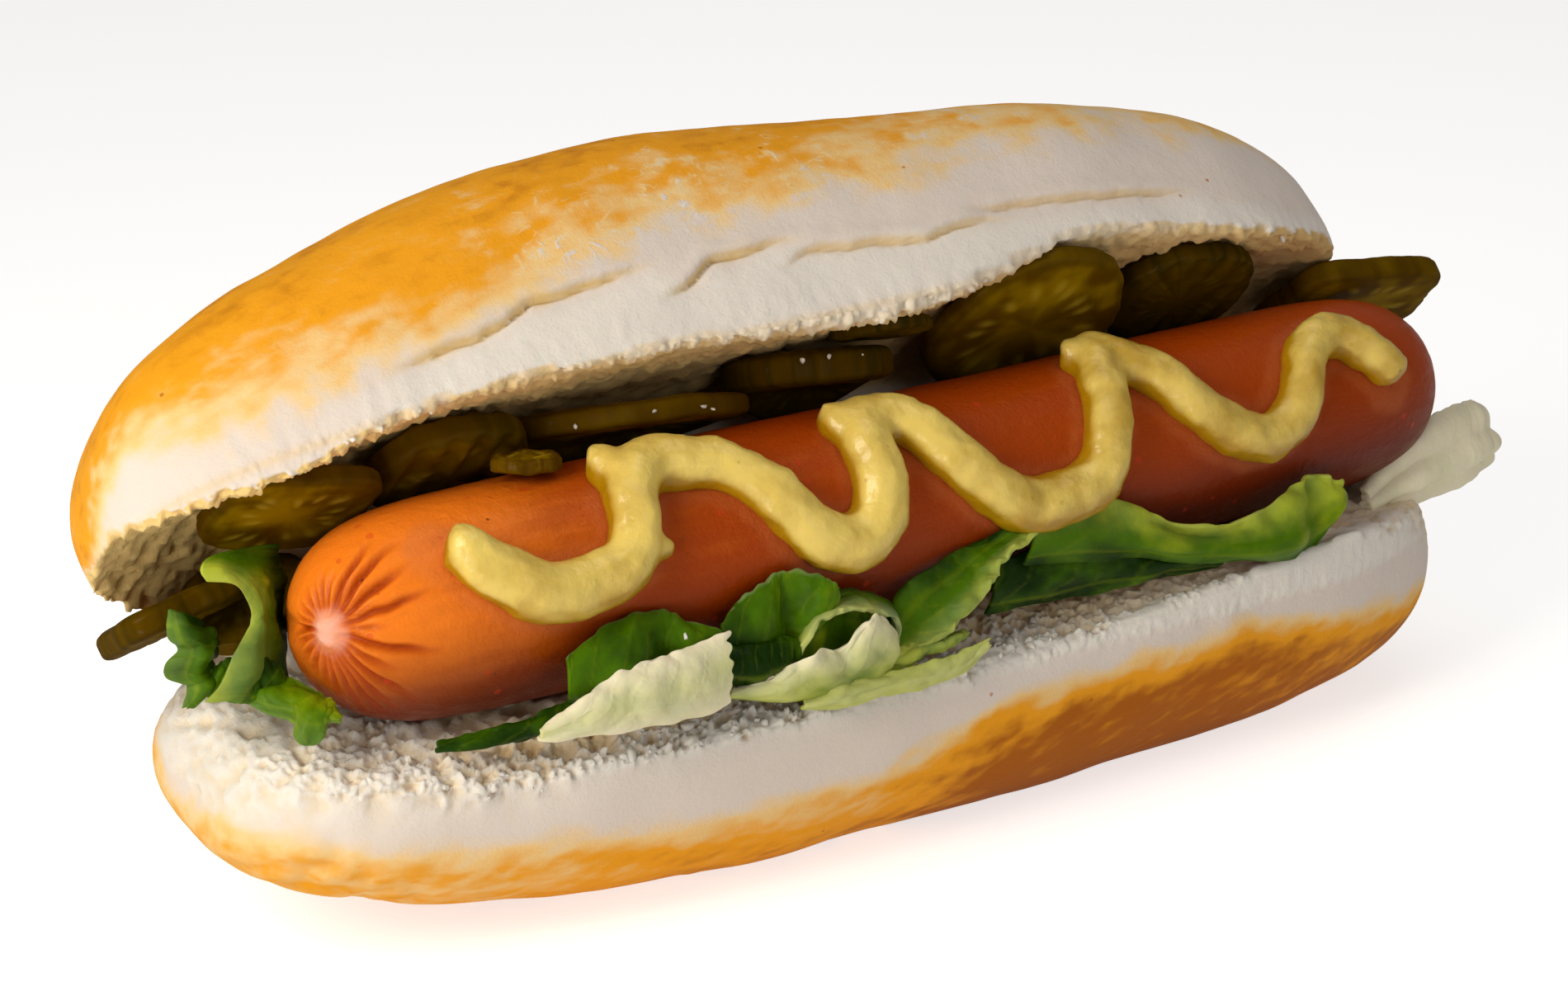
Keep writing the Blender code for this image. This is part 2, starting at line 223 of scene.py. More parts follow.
class Piece:
    """One mesh in the making, read and shaped in millimetres."""

    def __init__(self, obj: bpy.types.Object) -> None:
        """Takes an object in hand.

        Args:
            obj: A mesh object at the origin.
        """
        self.obj = obj

    @classmethod
    def ball(cls, name: str, segments: int, rings: int) -> "Piece":
        """A ball of radius 1 metre, as a start for a rounded form."""
        deselect_all()
        bpy.ops.mesh.primitive_uv_sphere_add(segments=segments, ring_count=rings, radius=1)
        return cls._named(name)

    @classmethod
    def sheet(cls, name: str, along: int, across: int) -> "Piece":
        """A flat grid 1 metre on a side, as a start for a leaf."""
        deselect_all()
        bpy.ops.mesh.primitive_grid_add(x_subdivisions=along, y_subdivisions=across, size=1)
        return cls._named(name)

    @classmethod
    def _named(cls, name: str) -> "Piece":
        """Names the primitive that was just added."""
        obj = bpy.context.active_object
        obj.name = name
        obj.data.name = name
        return cls(obj)

    def only(self) -> None:
        """Selects this piece alone."""
        deselect_all()
        self.obj.select_set(True)
        bpy.context.view_layer.objects.active = self.obj

    @property
    def points(self) -> np.ndarray:
        """The vertices, in millimetres."""
        flat = np.empty(len(self.obj.data.vertices) * 3, np.float32)
        self.obj.data.vertices.foreach_get("co", flat)
        return flat.reshape(-1, 3).astype(float) / MM

    @points.setter
    def points(self, places: np.ndarray) -> None:
        """Moves the vertices to these places."""
        self.obj.data.vertices.foreach_set("co", (places * MM).astype(np.float32).ravel())
        self.obj.data.update()

    @property
    def normals(self) -> np.ndarray:
        """The way each vertex faces."""
        flat = np.empty(len(self.obj.data.vertices) * 3, np.float32)
        self.obj.data.vertices.foreach_get("normal", flat)
        return flat.reshape(-1, 3).astype(float)

    def paint(self, name: str, values: np.ndarray) -> None:
        """Stores a number on each vertex, for the finish to read.

        Args:
            name: The attribute's name.
            values: One number for each vertex.
        """
        layer = self.obj.data.attributes.new(name, "FLOAT", "POINT")
        layer.data.foreach_set("value", np.asarray(values, np.float32))

    def modify(self, kind: str, **settings: object) -> "Piece":
        """Adds one modifier and applies it.

        Args:
            kind: The modifier's type.
            settings: Its settings.

        Returns:
            This piece.
        """
        self.only()
        step = self.obj.modifiers.new(kind.lower(), kind)
        for key, value in settings.items():
            setattr(step, key, value)
        bpy.ops.object.modifier_apply(modifier=step.name)
        return self

    def one_skin(self, voxel: float, smooth: int = 2) -> "Piece":
        """Merges all that overlaps into one closed even skin.

        Args:
            voxel: The size of its faces, in millimetres.
            smooth: How many times it is smoothed.

        Returns:
            This piece.
        """
        self.modify("REMESH", mode="VOXEL", voxel_size=voxel * MM)
        if smooth:
            self.modify("SMOOTH", factor=0.5, iterations=smooth)
        return self

    def select_where(self, chosen: np.ndarray) -> None:
        """Enters edit mode with the faces selected whose vertices are all chosen."""
        self.only()
        mesh = self.obj.data
        mesh.vertices.foreach_set("select", np.zeros(len(mesh.vertices), bool))
        mesh.edges.foreach_set("select", np.zeros(len(mesh.edges), bool))
        faces = [all(chosen[v] for v in face.vertices) for face in mesh.polygons]
        mesh.polygons.foreach_set("select", np.array(faces, bool))
        bpy.ops.object.mode_set(mode="EDIT")
        bpy.ops.mesh.select_mode(type="FACE")

    def finer_where(self, chosen: np.ndarray, cuts: int = 1) -> None:
        """Subdivides the faces whose vertices are all chosen."""
        self.select_where(chosen)
        bpy.ops.mesh.subdivide(number_cuts=cuts)
        bpy.ops.object.mode_set(mode="OBJECT")

    def mend(self) -> None:
        """Merges doubles and turns every face outwards."""
        self.only()
        bpy.ops.object.mode_set(mode="EDIT")
        bpy.ops.mesh.select_all(action="SELECT")
        bpy.ops.mesh.remove_doubles(threshold=1e-7)
        bpy.ops.mesh.normals_make_consistent(inside=False)
        bpy.ops.object.mode_set(mode="OBJECT")

    def join(self, others: Sequence["Piece"]) -> "Piece":
        """Takes the other pieces into this one."""
        self.only()
        for other in others:
            other.obj.select_set(True)
        bpy.ops.object.join()
        return self

    def finish(self, material: bpy.types.Material, slot: str, *nodes: str) -> "Piece":
        """Dresses the piece and ties it to the frame.

        Args:
            material: Its finish.
            slot: The record's material slot; not used.
            nodes: The solids it stands for.

        Returns:
            This piece.
        """
        self.only()
        bpy.ops.object.shade_smooth()
        self.obj.data.materials.clear()
        self.obj.data.materials.append(material)
        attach(self.obj, "root")
        if nodes:
            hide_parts(*nodes)
        LOG.info("%s: %d faces", self.obj.name, len(self.obj.data.polygons))
        return self


# ---------------------------------------------------------------- finishes


class Graph:
    """Adds and joins the nodes of one material or node group."""

    def __init__(self, tree: bpy.types.NodeTree) -> None:
        """Takes a node tree in hand."""
        self.tree = tree

    def add(self, kind: str, inputs: dict | None = None, **settings: object) -> bpy.types.Node:
        """Adds a node.

        Args:
            kind: Its type, without the leading ShaderNode.
            inputs: Sockets to set or join, by name or number.
            settings: Its own properties.

        Returns:
            The node.
        """
        node = self.tree.nodes.new("ShaderNode" + kind)
        for key, value in settings.items():
            setattr(node, key, value)
        for key, value in (inputs or {}).items():
            if isinstance(value, bpy.types.NodeSocket):
                self.tree.links.new(value, node.inputs[key])
            else:
                node.inputs[key].default_value = value
        return node

    def mask(self, name: str) -> bpy.types.NodeSocket:
        """The number painted on the piece under this name."""
        return self.add("Attribute", attribute_name=name).outputs["Fac"]

    def sum(self, operation: str, first: object, second: object) -> bpy.types.NodeSocket:
        """One step of arithmetic."""
        return self.add("Math", {0: first, 1: second}, operation=operation).outputs[0]

    def fit(self, value: object, low: float, high: float, least: float = 0.0, most: float = 1.0) -> bpy.types.NodeSocket:
        """Spreads the range from low to high smoothly over least to most."""
        names = {"Value": value, "From Min": low, "From Max": high, "To Min": least, "To Max": most}
        return self.add("MapRange", names, interpolation_type="SMOOTHSTEP").outputs[0]

    def blend(self, share: object, first: object, second: object) -> bpy.types.NodeSocket:
        """Mixes two colours."""
        ends = [(*end, 1.0) if isinstance(end, tuple) else end for end in (first, second)]
        node = self.add("Mix", {0: share, 6: ends[0], 7: ends[1]}, data_type="RGBA")
        return node.outputs[2]

    def group(self, group: bpy.types.NodeTree, **inputs: object) -> bpy.types.Node:
        """Places a node group with its own values."""
        node = self.tree.nodes.new("ShaderNodeGroup")
        node.node_tree = group
        for key, value in inputs.items():
            socket = node.inputs[key.replace("_", " ")]
            if isinstance(value, bpy.types.NodeSocket):
                self.tree.links.new(value, socket)
            else:
                socket.default_value = value
        return node


class Effects:
    """The patterns that several finishes share, each built once as a node group."""

    def __init__(self) -> None:
        """Builds every group."""
        self.mottle = self._mottle()
        self.specks = self._specks()
        self.skin_relief = self._skin_relief()
        self.wrinkles = self._wrinkles()

    @staticmethod
    def _new(name: str, inputs: dict[str, float], output: str) -> tuple[Graph, dict, bpy.types.NodeSocket]:
        """Starts a group with number inputs and one number output."""
        tree = bpy.data.node_groups.new(name, "ShaderNodeTree")
        for key, value in inputs.items():
            socket = tree.interface.new_socket(key, in_out="INPUT", socket_type="NodeSocketFloat")
            socket.default_value = value
        tree.interface.new_socket(output, in_out="OUTPUT", socket_type="NodeSocketFloat")
        start = tree.nodes.new("NodeGroupInput")
        end = tree.nodes.new("NodeGroupOutput")
        return Graph(tree), {key: start.outputs[key] for key in inputs}, end.inputs[0]

    def _mottle(self) -> bpy.types.NodeTree:
        """Uneven patches, as a number from 0 to 1."""
        graph, ins, out = self._new("mottle", {"Scale": 100.0, "Stretch": 1.0, "Detail": 4.0}, "Value")
        place = graph.add("TexCoord").outputs["Object"]
        reach = graph.add("CombineXYZ", {0: ins["Stretch"], 1: 1.0, 2: 1.0}).outputs[0]
        spread = graph.add("VectorMath", {0: place, 1: reach}, operation="MULTIPLY").outputs[0]
        noise = graph.add("TexNoise", {"Vector": spread, "Scale": ins["Scale"], "Detail": ins["Detail"]})
        value = graph.fit(noise.outputs[0], 0.3, 0.7)
        graph.tree.links.new(value, out)
        return graph.tree

    def _specks(self) -> bpy.types.NodeTree:
        """Small scattered specks, 1 inside each."""
        graph, ins, out = self._new("specks", {"Scale": 300.0, "Size": 0.2, "Share": 0.3}, "Mask")
        place = graph.add("TexCoord").outputs["Object"]
        cells = graph.add("TexVoronoi", {"Vector": place, "Scale": ins["Scale"]})
        near = graph.sum("LESS_THAN", cells.outputs["Distance"], ins["Size"])
        chance = graph.add("SeparateColor", {0: cells.outputs["Color"]}).outputs[0]
        kept = graph.sum("LESS_THAN", chance, ins["Share"])
        graph.tree.links.new(graph.sum("MULTIPLY", near, kept), out)
        return graph.tree

    def _wrinkles(self) -> bpy.types.NodeTree:
        """Thin wandering lines that branch and fade, 1 along each."""
        graph, ins, out = self._new("wrinkles", {"Scale": 300.0, "Width": 0.03}, "Mask")
        place = graph.add("TexCoord").outputs["Object"]
        lines = []
        for turn, stretch in ((0.0, (0.7, 1.0, 0.45)), (7.0, (0.5, 0.8, 0.8))):
            spread = graph.add("VectorMath", {0: place, 1: stretch}, operation="MULTIPLY").outputs[0]
            moved = graph.add("VectorMath", {0: spread, 1: (turn, turn, turn)}, operation="ADD").outputs[0]
            noise = graph.add("TexNoise", {"Vector": moved, "Scale": ins["Scale"], "Detail": 2.5, "Distortion": 0.9})
            off = graph.sum("ABSOLUTE", graph.sum("SUBTRACT", noise.outputs[0], 0.5), 0.0)
            names = {"Value": off, "From Min": ins["Width"], "From Max": 0.0}
            lines.append(graph.add("MapRange", names, interpolation_type="SMOOTHSTEP").outputs[0])
        graph.tree.links.new(graph.sum("MAXIMUM", *lines), out)
        return graph.tree

    def _skin_relief(self) -> bpy.types.NodeTree:
        """A fine pebbled height at two scales."""
        graph, ins, out = self._new("skin relief", {"Coarse": 300.0, "Fine": 1500.0, "Fine share": 0.4}, "Height")
        place = graph.add("TexCoord").outputs["Object"]
        coarse = graph.add("TexNoise", {"Vector": place, "Scale": ins["Coarse"], "Detail": 3.0})
        fine = graph.add("TexNoise", {"Vector": place, "Scale": ins["Fine"], "Detail": 2.0})
        small = graph.sum("MULTIPLY", fine.outputs[0], ins["Fine share"])
        graph.tree.links.new(graph.sum("ADD", coarse.outputs[0], small), out)
        return graph.tree


def new_finish(name: str) -> tuple[Graph, bpy.types.Material]:
    """An empty material with its graph."""
    material = bpy.data.materials.new(name)
    material.use_nodes = True
    material.node_tree.nodes.clear()
    return Graph(material.node_tree), material


def surface(graph: Graph, colour: object, roughness: object, height: object = None, **settings: object) -> bpy.types.Node:
    """The food's own surface, wired to the output.

    Args:
        graph: The material's graph.
        colour: Base colour.
        roughness: A number or a socket.
        height: A height for fine relief, or None.
        settings: relief (metres) and constants for the shader's own sockets, with _ for a space.

    Returns:
        The shader.
    """
    relief = settings.pop("relief", 0.0002)
    shader = graph.add("BsdfPrincipled")
    for key, value in (("Base Color", colour), ("Roughness", roughness)):
        if isinstance(value, bpy.types.NodeSocket):
            graph.tree.links.new(value, shader.inputs[key])
        else:
            shader.inputs[key].default_value = (*value, 1.0) if isinstance(value, tuple) else value
    if height is not None:
        bump = graph.add("Bump", {"Height": height, "Distance": relief, "Strength": 1.0})
        graph.tree.links.new(bump.outputs[0], shader.inputs["Normal"])
    for key, value in settings.items():
        shader.inputs[key.replace("_", " ")].default_value = value
    out = graph.add("OutputMaterial")
    graph.tree.links.new(shader.outputs[0], out.inputs[0])
    return shader


@dataclass(frozen=True)
class BreadFinish:
    """Crust that browns from cream to deep brown, over torn crumb, with painted shade in its folds, hollows and
    recesses.
    """

    pale: Colour = (0.78, 0.685, 0.615)
    cream: Colour = (0.90, 0.62, 0.27)
    gold: Colour = (0.90, 0.375, 0.012)
    brown: Colour = (0.44, 0.120, 0.001)
    torn: Colour = (0.84, 0.79, 0.72)
    # tan: painted shade in the folds, in the crumb's hollows and under the lid, and a thin tan edge along the lid's lip
    tan: Colour = (0.80, 0.54, 0.17)
    shade: Colour = (0.50, 0.29, 0.06)

    def make(self, effects: Effects) -> bpy.types.Material:
        """Builds the material."""
        graph, material = new_finish("bread")
        browning = graph.mask("browning")
        patches = graph.group(effects.mottle, Scale=70.0, Stretch=0.5, Detail=6.0).outputs[0]
        blotches = graph.group(effects.mottle, Scale=380.0, Stretch=0.35, Detail=6.0).outputs[0]
        uneven = graph.sum("ADD", graph.sum("MULTIPLY", patches, 0.16), graph.sum("MULTIPLY", blotches, 0.17))
        strength = graph.fit(browning, 0.05, 0.5, 0.25, 1.0)
        baked = graph.sum("ADD", browning, graph.sum("MULTIPLY", graph.sum("SUBTRACT", uneven, 0.15), strength))
        veins = graph.group(effects.wrinkles, Scale=260.0, Width=0.035).outputs[0]
        broken = graph.fit(graph.group(effects.mottle, Scale=330.0, Stretch=1.6, Detail=3.0).outputs[0], 0.35, 0.75)
        marks = graph.sum("ADD", graph.sum("MULTIPLY", graph.sum("MULTIPLY", veins, broken), 0.36), 0.14)
        stretched = graph.sum("MULTIPLY", graph.mask("stretch"), marks)
        baked = graph.sum("SUBTRACT", baked, stretched)
        colour = graph.blend(graph.fit(baked, 0.08, 0.34), self.pale, self.cream)
        colour = graph.blend(graph.fit(baked, 0.26, 0.62), colour, self.gold)
        colour = graph.blend(graph.fit(baked, 0.62, 1.08), colour, self.brown)
        freckles = graph.group(effects.specks, Scale=190.0, Size=0.05, Share=0.22).outputs[0]
        colour = graph.blend(graph.sum("MULTIPLY", freckles, 0.7), colour, self.brown)
        colour = graph.blend(graph.mask("torn"), colour, self.torn)
        colour = graph.blend(graph.mask("tan"), colour, self.tan)
        colour = graph.blend(graph.mask("shade"), colour, self.shade)
        height = graph.group(effects.skin_relief, Coarse=700.0, Fine=2600.0, Fine_share=0.5).outputs[0]
        tall = graph.sum("MULTIPLY", height, graph.fit(graph.mask("torn"), 0.0, 1.0, 1.0, 1.2))
        tall = graph.sum("ADD", tall, graph.sum("MULTIPLY", stretched, 1.6))
        shine = graph.fit(browning, 0.2, 0.9, 0.8, 0.5)
        surface(
            graph, colour, shine, tall, relief=0.00011, Subsurface_Weight=0.15,
            Subsurface_Radius=(1.0, 0.6, 0.3), Subsurface_Scale=0.002, Specular_IOR_Level=0.1,
        )
        return material


@dataclass(frozen=True)
class SausageFinish:
    """Moist smoked skin, orange at the near end and brick brown along its length, partly its own colour and partly
    painted light, with painted shade on its low side and in its wrinkles.
    """

    near: Colour = (0.90, 0.215, 0.012)
    far: Colour = (0.40, 0.052, 0.0005)
    low: Colour = (0.12, 0.010, 0.0003)
    knot: Colour = (0.86, 0.47, 0.37)
    fold: Colour = (0.34, 0.030, 0.001)
    fleck: Colour = (0.09, 0.010, 0.002)
    rosy: Colour = (0.62, 0.045, 0.010)
    halo: Colour = (0.60, 0.17, 0.05)

    def make(self, effects: Effects) -> bpy.types.Material:
        """Builds the material."""
        graph, material = new_finish("sausage skin")
        cloudy = graph.group(effects.mottle, Scale=75.0, Stretch=0.45, Detail=6.0).outputs[0]
        streaky = graph.group(effects.mottle, Scale=650.0, Stretch=0.22, Detail=5.0).outputs[0]
        drift = graph.sum("ADD", graph.sum("MULTIPLY", cloudy, 0.24), graph.sum("MULTIPLY", streaky, 0.16))
        share = graph.sum("ADD", graph.mask("along"), graph.sum("SUBTRACT", drift, 0.20))
        # painted light and shade: the near end's orange is partly painted light, the low side's dark is painted shade
        colour = graph.blend(graph.fit(share, 0.0, 1.0), self.near, self.far)
        colour = graph.blend(graph.sum("MULTIPLY", graph.mask("low"), 0.95), colour, self.low)
        # painted shade in the wrinkles' folds
        colour = graph.blend(graph.sum("MULTIPLY", graph.mask("fold"), 0.85), colour, self.fold)
        red = graph.group(effects.specks, Scale=480.0, Size=0.22, Share=0.10).outputs[0]
        colour = graph.blend(graph.sum("MULTIPLY", red, 0.45), colour, self.rosy)
        dark = graph.group(effects.specks, Scale=330.0, Size=0.09, Share=0.10).outputs[0]
        colour = graph.blend(graph.sum("MULTIPLY", dark, 0.7), colour, self.fleck)
        colour = graph.blend(graph.mask("knot"), colour, self.knot)
        colour = graph.blend(graph.sum("MULTIPLY", graph.mask("wet"), 0.3), colour, self.halo)
        height = graph.group(effects.skin_relief, Coarse=800.0, Fine=2600.0, Fine_share=0.5).outputs[0]
        shine = graph.fit(streaky, 0.0, 1.0, 0.3, 0.42)
        surface(
            graph, colour, shine, height, relief=0.00014, Subsurface_Weight=0.08,
            Subsurface_Radius=(1.0, 0.25, 0.08), Subsurface_Scale=0.0015, Specular_IOR_Level=0.15,
        )
        return material


@dataclass(frozen=True)
class MustardFinish:
    """Thick smooth yellow sauce with a soft wet sheen."""

    light: Colour = (0.83, 0.62, 0.14)
    deep: Colour = (0.42, 0.225, 0.001)
    seed: Colour = (0.45, 0.24, 0.01)

    def make(self, effects: Effects) -> bpy.types.Material:
        """Builds the material."""
        graph, material = new_finish("mustard")
        cloudy = graph.group(effects.mottle, Scale=200.0, Detail=4.0).outputs[0]
        share = graph.sum("ADD", graph.mask("thin"), graph.sum("MULTIPLY", cloudy, 0.4))
        colour = graph.blend(graph.fit(share, 0.05, 0.95), self.light, self.deep)
        grains = graph.group(effects.specks, Scale=520.0, Size=0.15, Share=0.06).outputs[0]
        colour = graph.blend(graph.sum("MULTIPLY", grains, 0.35), colour, self.seed)
        height = graph.group(effects.skin_relief, Coarse=420.0, Fine=1500.0, Fine_share=0.3).outputs[0]
        surface(
            graph, colour, 0.3, height, relief=0.00022, Subsurface_Weight=0.15,
            Subsurface_Radius=(1.0, 0.6, 0.1), Subsurface_Scale=0.002, Specular_IOR_Level=0.5,
        )
        return material


@dataclass(frozen=True)
class PickleFinish:
    """Wet brownish olive flesh with pale seeds and a dark rim."""

    flesh: Colour = (0.095, 0.046, 0.0005)
    glow: Colour = (0.27, 0.165, 0.001)
    rim: Colour = (0.030, 0.021, 0.0005)
    seed: Colour = (0.50, 0.36, 0.03)

    def make(self, effects: Effects) -> bpy.types.Material:
        """Builds the material."""
        graph, material = new_finish("pickle")
        cloudy = graph.group(effects.mottle, Scale=130.0, Detail=4.0).outputs[0]
        lit = graph.sum("ADD", graph.mask("glow"), graph.sum("MULTIPLY", cloudy, 0.35))
        colour = graph.blend(graph.fit(lit, 0.1, 1.3), self.flesh, self.glow)
        colour = graph.blend(graph.mask("seeds"), colour, self.seed)
        colour = graph.blend(graph.mask("dark"), colour, self.rim)
        height = graph.group(effects.skin_relief, Coarse=320.0, Fine=1100.0, Fine_share=0.3).outputs[0]
        surface(
            graph, colour, 0.3, height, relief=0.00022, Subsurface_Weight=0.15,
            Subsurface_Radius=(1.0, 0.7, 0.1), Subsurface_Scale=0.002, Specular_IOR_Level=0.0,
            Coat_Weight=0.06, Coat_Roughness=0.12,
        )
        return material


@dataclass(frozen=True)
class LeafFinish:
    """Fresh lettuce, from deep green blade to cream rib."""

    deep: Colour = (0.007, 0.028, 0.0003)
    middle: Colour = (0.070, 0.165, 0.0005)
    bright: Colour = (0.40, 0.47, 0.006)
    cream: Colour = (0.88, 0.81, 0.60)

    def make(self, effects: Effects) -> bpy.types.Material:
        """Builds the material."""
        graph, material = new_finish("lettuce")
        cloudy = graph.group(effects.mottle, Scale=160.0, Detail=5.0).outputs[0]
        share = graph.sum("ADD", graph.mask("light"), graph.sum("MULTIPLY", graph.sum("SUBTRACT", cloudy, 0.5), 0.28))
        colour = graph.blend(graph.fit(share, -0.05, 0.5), self.deep, self.middle)
        colour = graph.blend(graph.fit(share, 0.45, 1.0), colour, self.bright)
        colour = graph.blend(graph.sum("MULTIPLY", graph.mask("veins"), 0.12), colour, self.bright)
        colour = graph.blend(graph.mask("rib"), colour, self.cream)
        height = graph.group(effects.skin_relief, Coarse=260.0, Fine=1100.0, Fine_share=0.3).outputs[0]
        tall = graph.sum("ADD", height, graph.sum("MULTIPLY", graph.mask("veins"), 0.25))
        surface(
            graph, colour, 0.4, tall, relief=0.00028, Subsurface_Weight=0.2,
            Subsurface_Radius=(0.6, 1.0, 0.05), Subsurface_Scale=0.0012, Specular_IOR_Level=0.08,
        )
        return material


# ---------------------------------------------------------------- roll


@dataclass(frozen=True)
class HalfLoaf:
    """One half of the roll: a domed crust over a cut face."""

    lip: tuple[float, float]
    rise: float
    depth: float
    ends: tuple[float, float]
    widest_x: float
    hollow: float
    plan_powers: tuple[float, float]
    bulge: float
    swell: Place
    lip_bumps: tuple[Place, ...]
    dome_up: bool
    half_width: float = 26.0
    section_power: float = 2.8

    @property
    def axes(self) -> tuple[np.ndarray, np.ndarray]:
        """The (Y, Z) ways that run in from the lip and out from the cut."""
        turn = math.radians(self.rise)
        inward = np.array([math.cos(turn), math.sin(turn)])
        outward = np.array([-inward[1], inward[0]]) * (1 if self.dome_up else -1)
        return inward, outward

    def over_cut(self, points: np.ndarray) -> tuple[np.ndarray, np.ndarray]:
        """How far each point lies in from the lip and out from the cut plane."""
        inward, outward = self.axes
        side = points[:, 1:] - np.array(self.lip)
        return side @ inward, side @ outward

    def make(self, name: str) -> Piece:
        """Models this half from a ball."""
        piece = Piece.ball(name, 96, 128)
        ball = piece.points * MM
        ring = np.hypot(ball[:, 0], ball[:, 1])
        across = np.where(ring > TINY, ball[:, 0] / np.maximum(ring, TINY), 0.0)
        high = np.where(ring > TINY, ball[:, 1] / np.maximum(ring, TINY), 0.0)
        right = ball[:, 2] > 0
        power = np.where(right, self.plan_powers[1], self.plan_powers[0])
        reach = np.where(right, self.ends[1], self.ends[0]) - self.widest_x
        narrowed = np.maximum(1 - np.abs(ball[:, 2]) ** power, 0.0) ** (1 / power)
        sunk = narrowed * np.maximum(high, 0.0) ** (2 / self.section_power)
        fuller = 1 + 4 * self.bulge * sunk * (1 - sunk)
        x = self.widest_x + reach * np.abs(ball[:, 2]) * fuller
        dome = high >= 0
        v = np.where(dome, signed_power(across, 2 / self.section_power) * fuller, across) * self.half_width
        rise = (self.depth + self.swell[2] * hump(x, self.swell[0], self.swell[1]))
        w = np.where(dome, rise * np.maximum(high, 0) ** (2 / self.section_power), self.hollow * (1 - across**2))
        lift = sum(height * hump(x, middle, spread) for middle, spread, height in self.lip_bumps)
        w = w + np.maximum(-across, 0) ** 3 * (1 - np.maximum(high, 0)) ** 2 * lift
        inward, outward = self.axes
        middle = np.array(self.lip) + inward * self.half_width
        section = middle + (v[:, None] * inward + w[:, None] * outward) * narrowed[:, None]
        piece.points = np.column_stack([x, section])
        piece.mend()
        return piece


BASE = HalfLoaf(
    (-28.0, 22.6), 10.0, 28.6, (-86.5, 77.5), 2.0, -3.0, (3.0, 5.0), 0.07, (-72.0, 28.0, -2.0),
    ((57.0, 30.0, -5.0), (-85.0, 14.0, -2.5)), False,
)
LID = HalfLoaf(
    (-16.3, 65.7), -46.0, 32.5, (-97.0, 74.5), -6.0, 5.0, (2.6, 3.0), 0.015, (-32.0, 38.0, 3.8),
    ((28.0, 18.0, 4.0), (-6.0, 18.0, -2.5), (-92.0, 14.0, -4.0), (-79.0, 9.0, -2.6)), True,
)


@dataclass(frozen=True)
class Crease:
    """A fold along the lid's front, each knot as (along X, height over the lip)."""

    knots: tuple[tuple[float, float], ...]
    depth: float

    def over(self, x: np.ndarray, height: np.ndarray) -> tuple[np.ndarray, np.ndarray]:
        """Where points lie beside the fold.

        Args:
            x: Places along the roll.
            height: Heights over the lip.

        Returns:
            Heights over the fold, and a share that fades out at its ends.
        """
        line = curve_through(self.knots, 60)
        first, last = line[0, 0], line[-1, 0]
        fade = smooth_step(first - 2.0, first + 5.0, x) * smooth_step(last + 3.0, last - 7.0, x)
        return height - np.interp(x, line[:, 0], line[:, 1]), fade


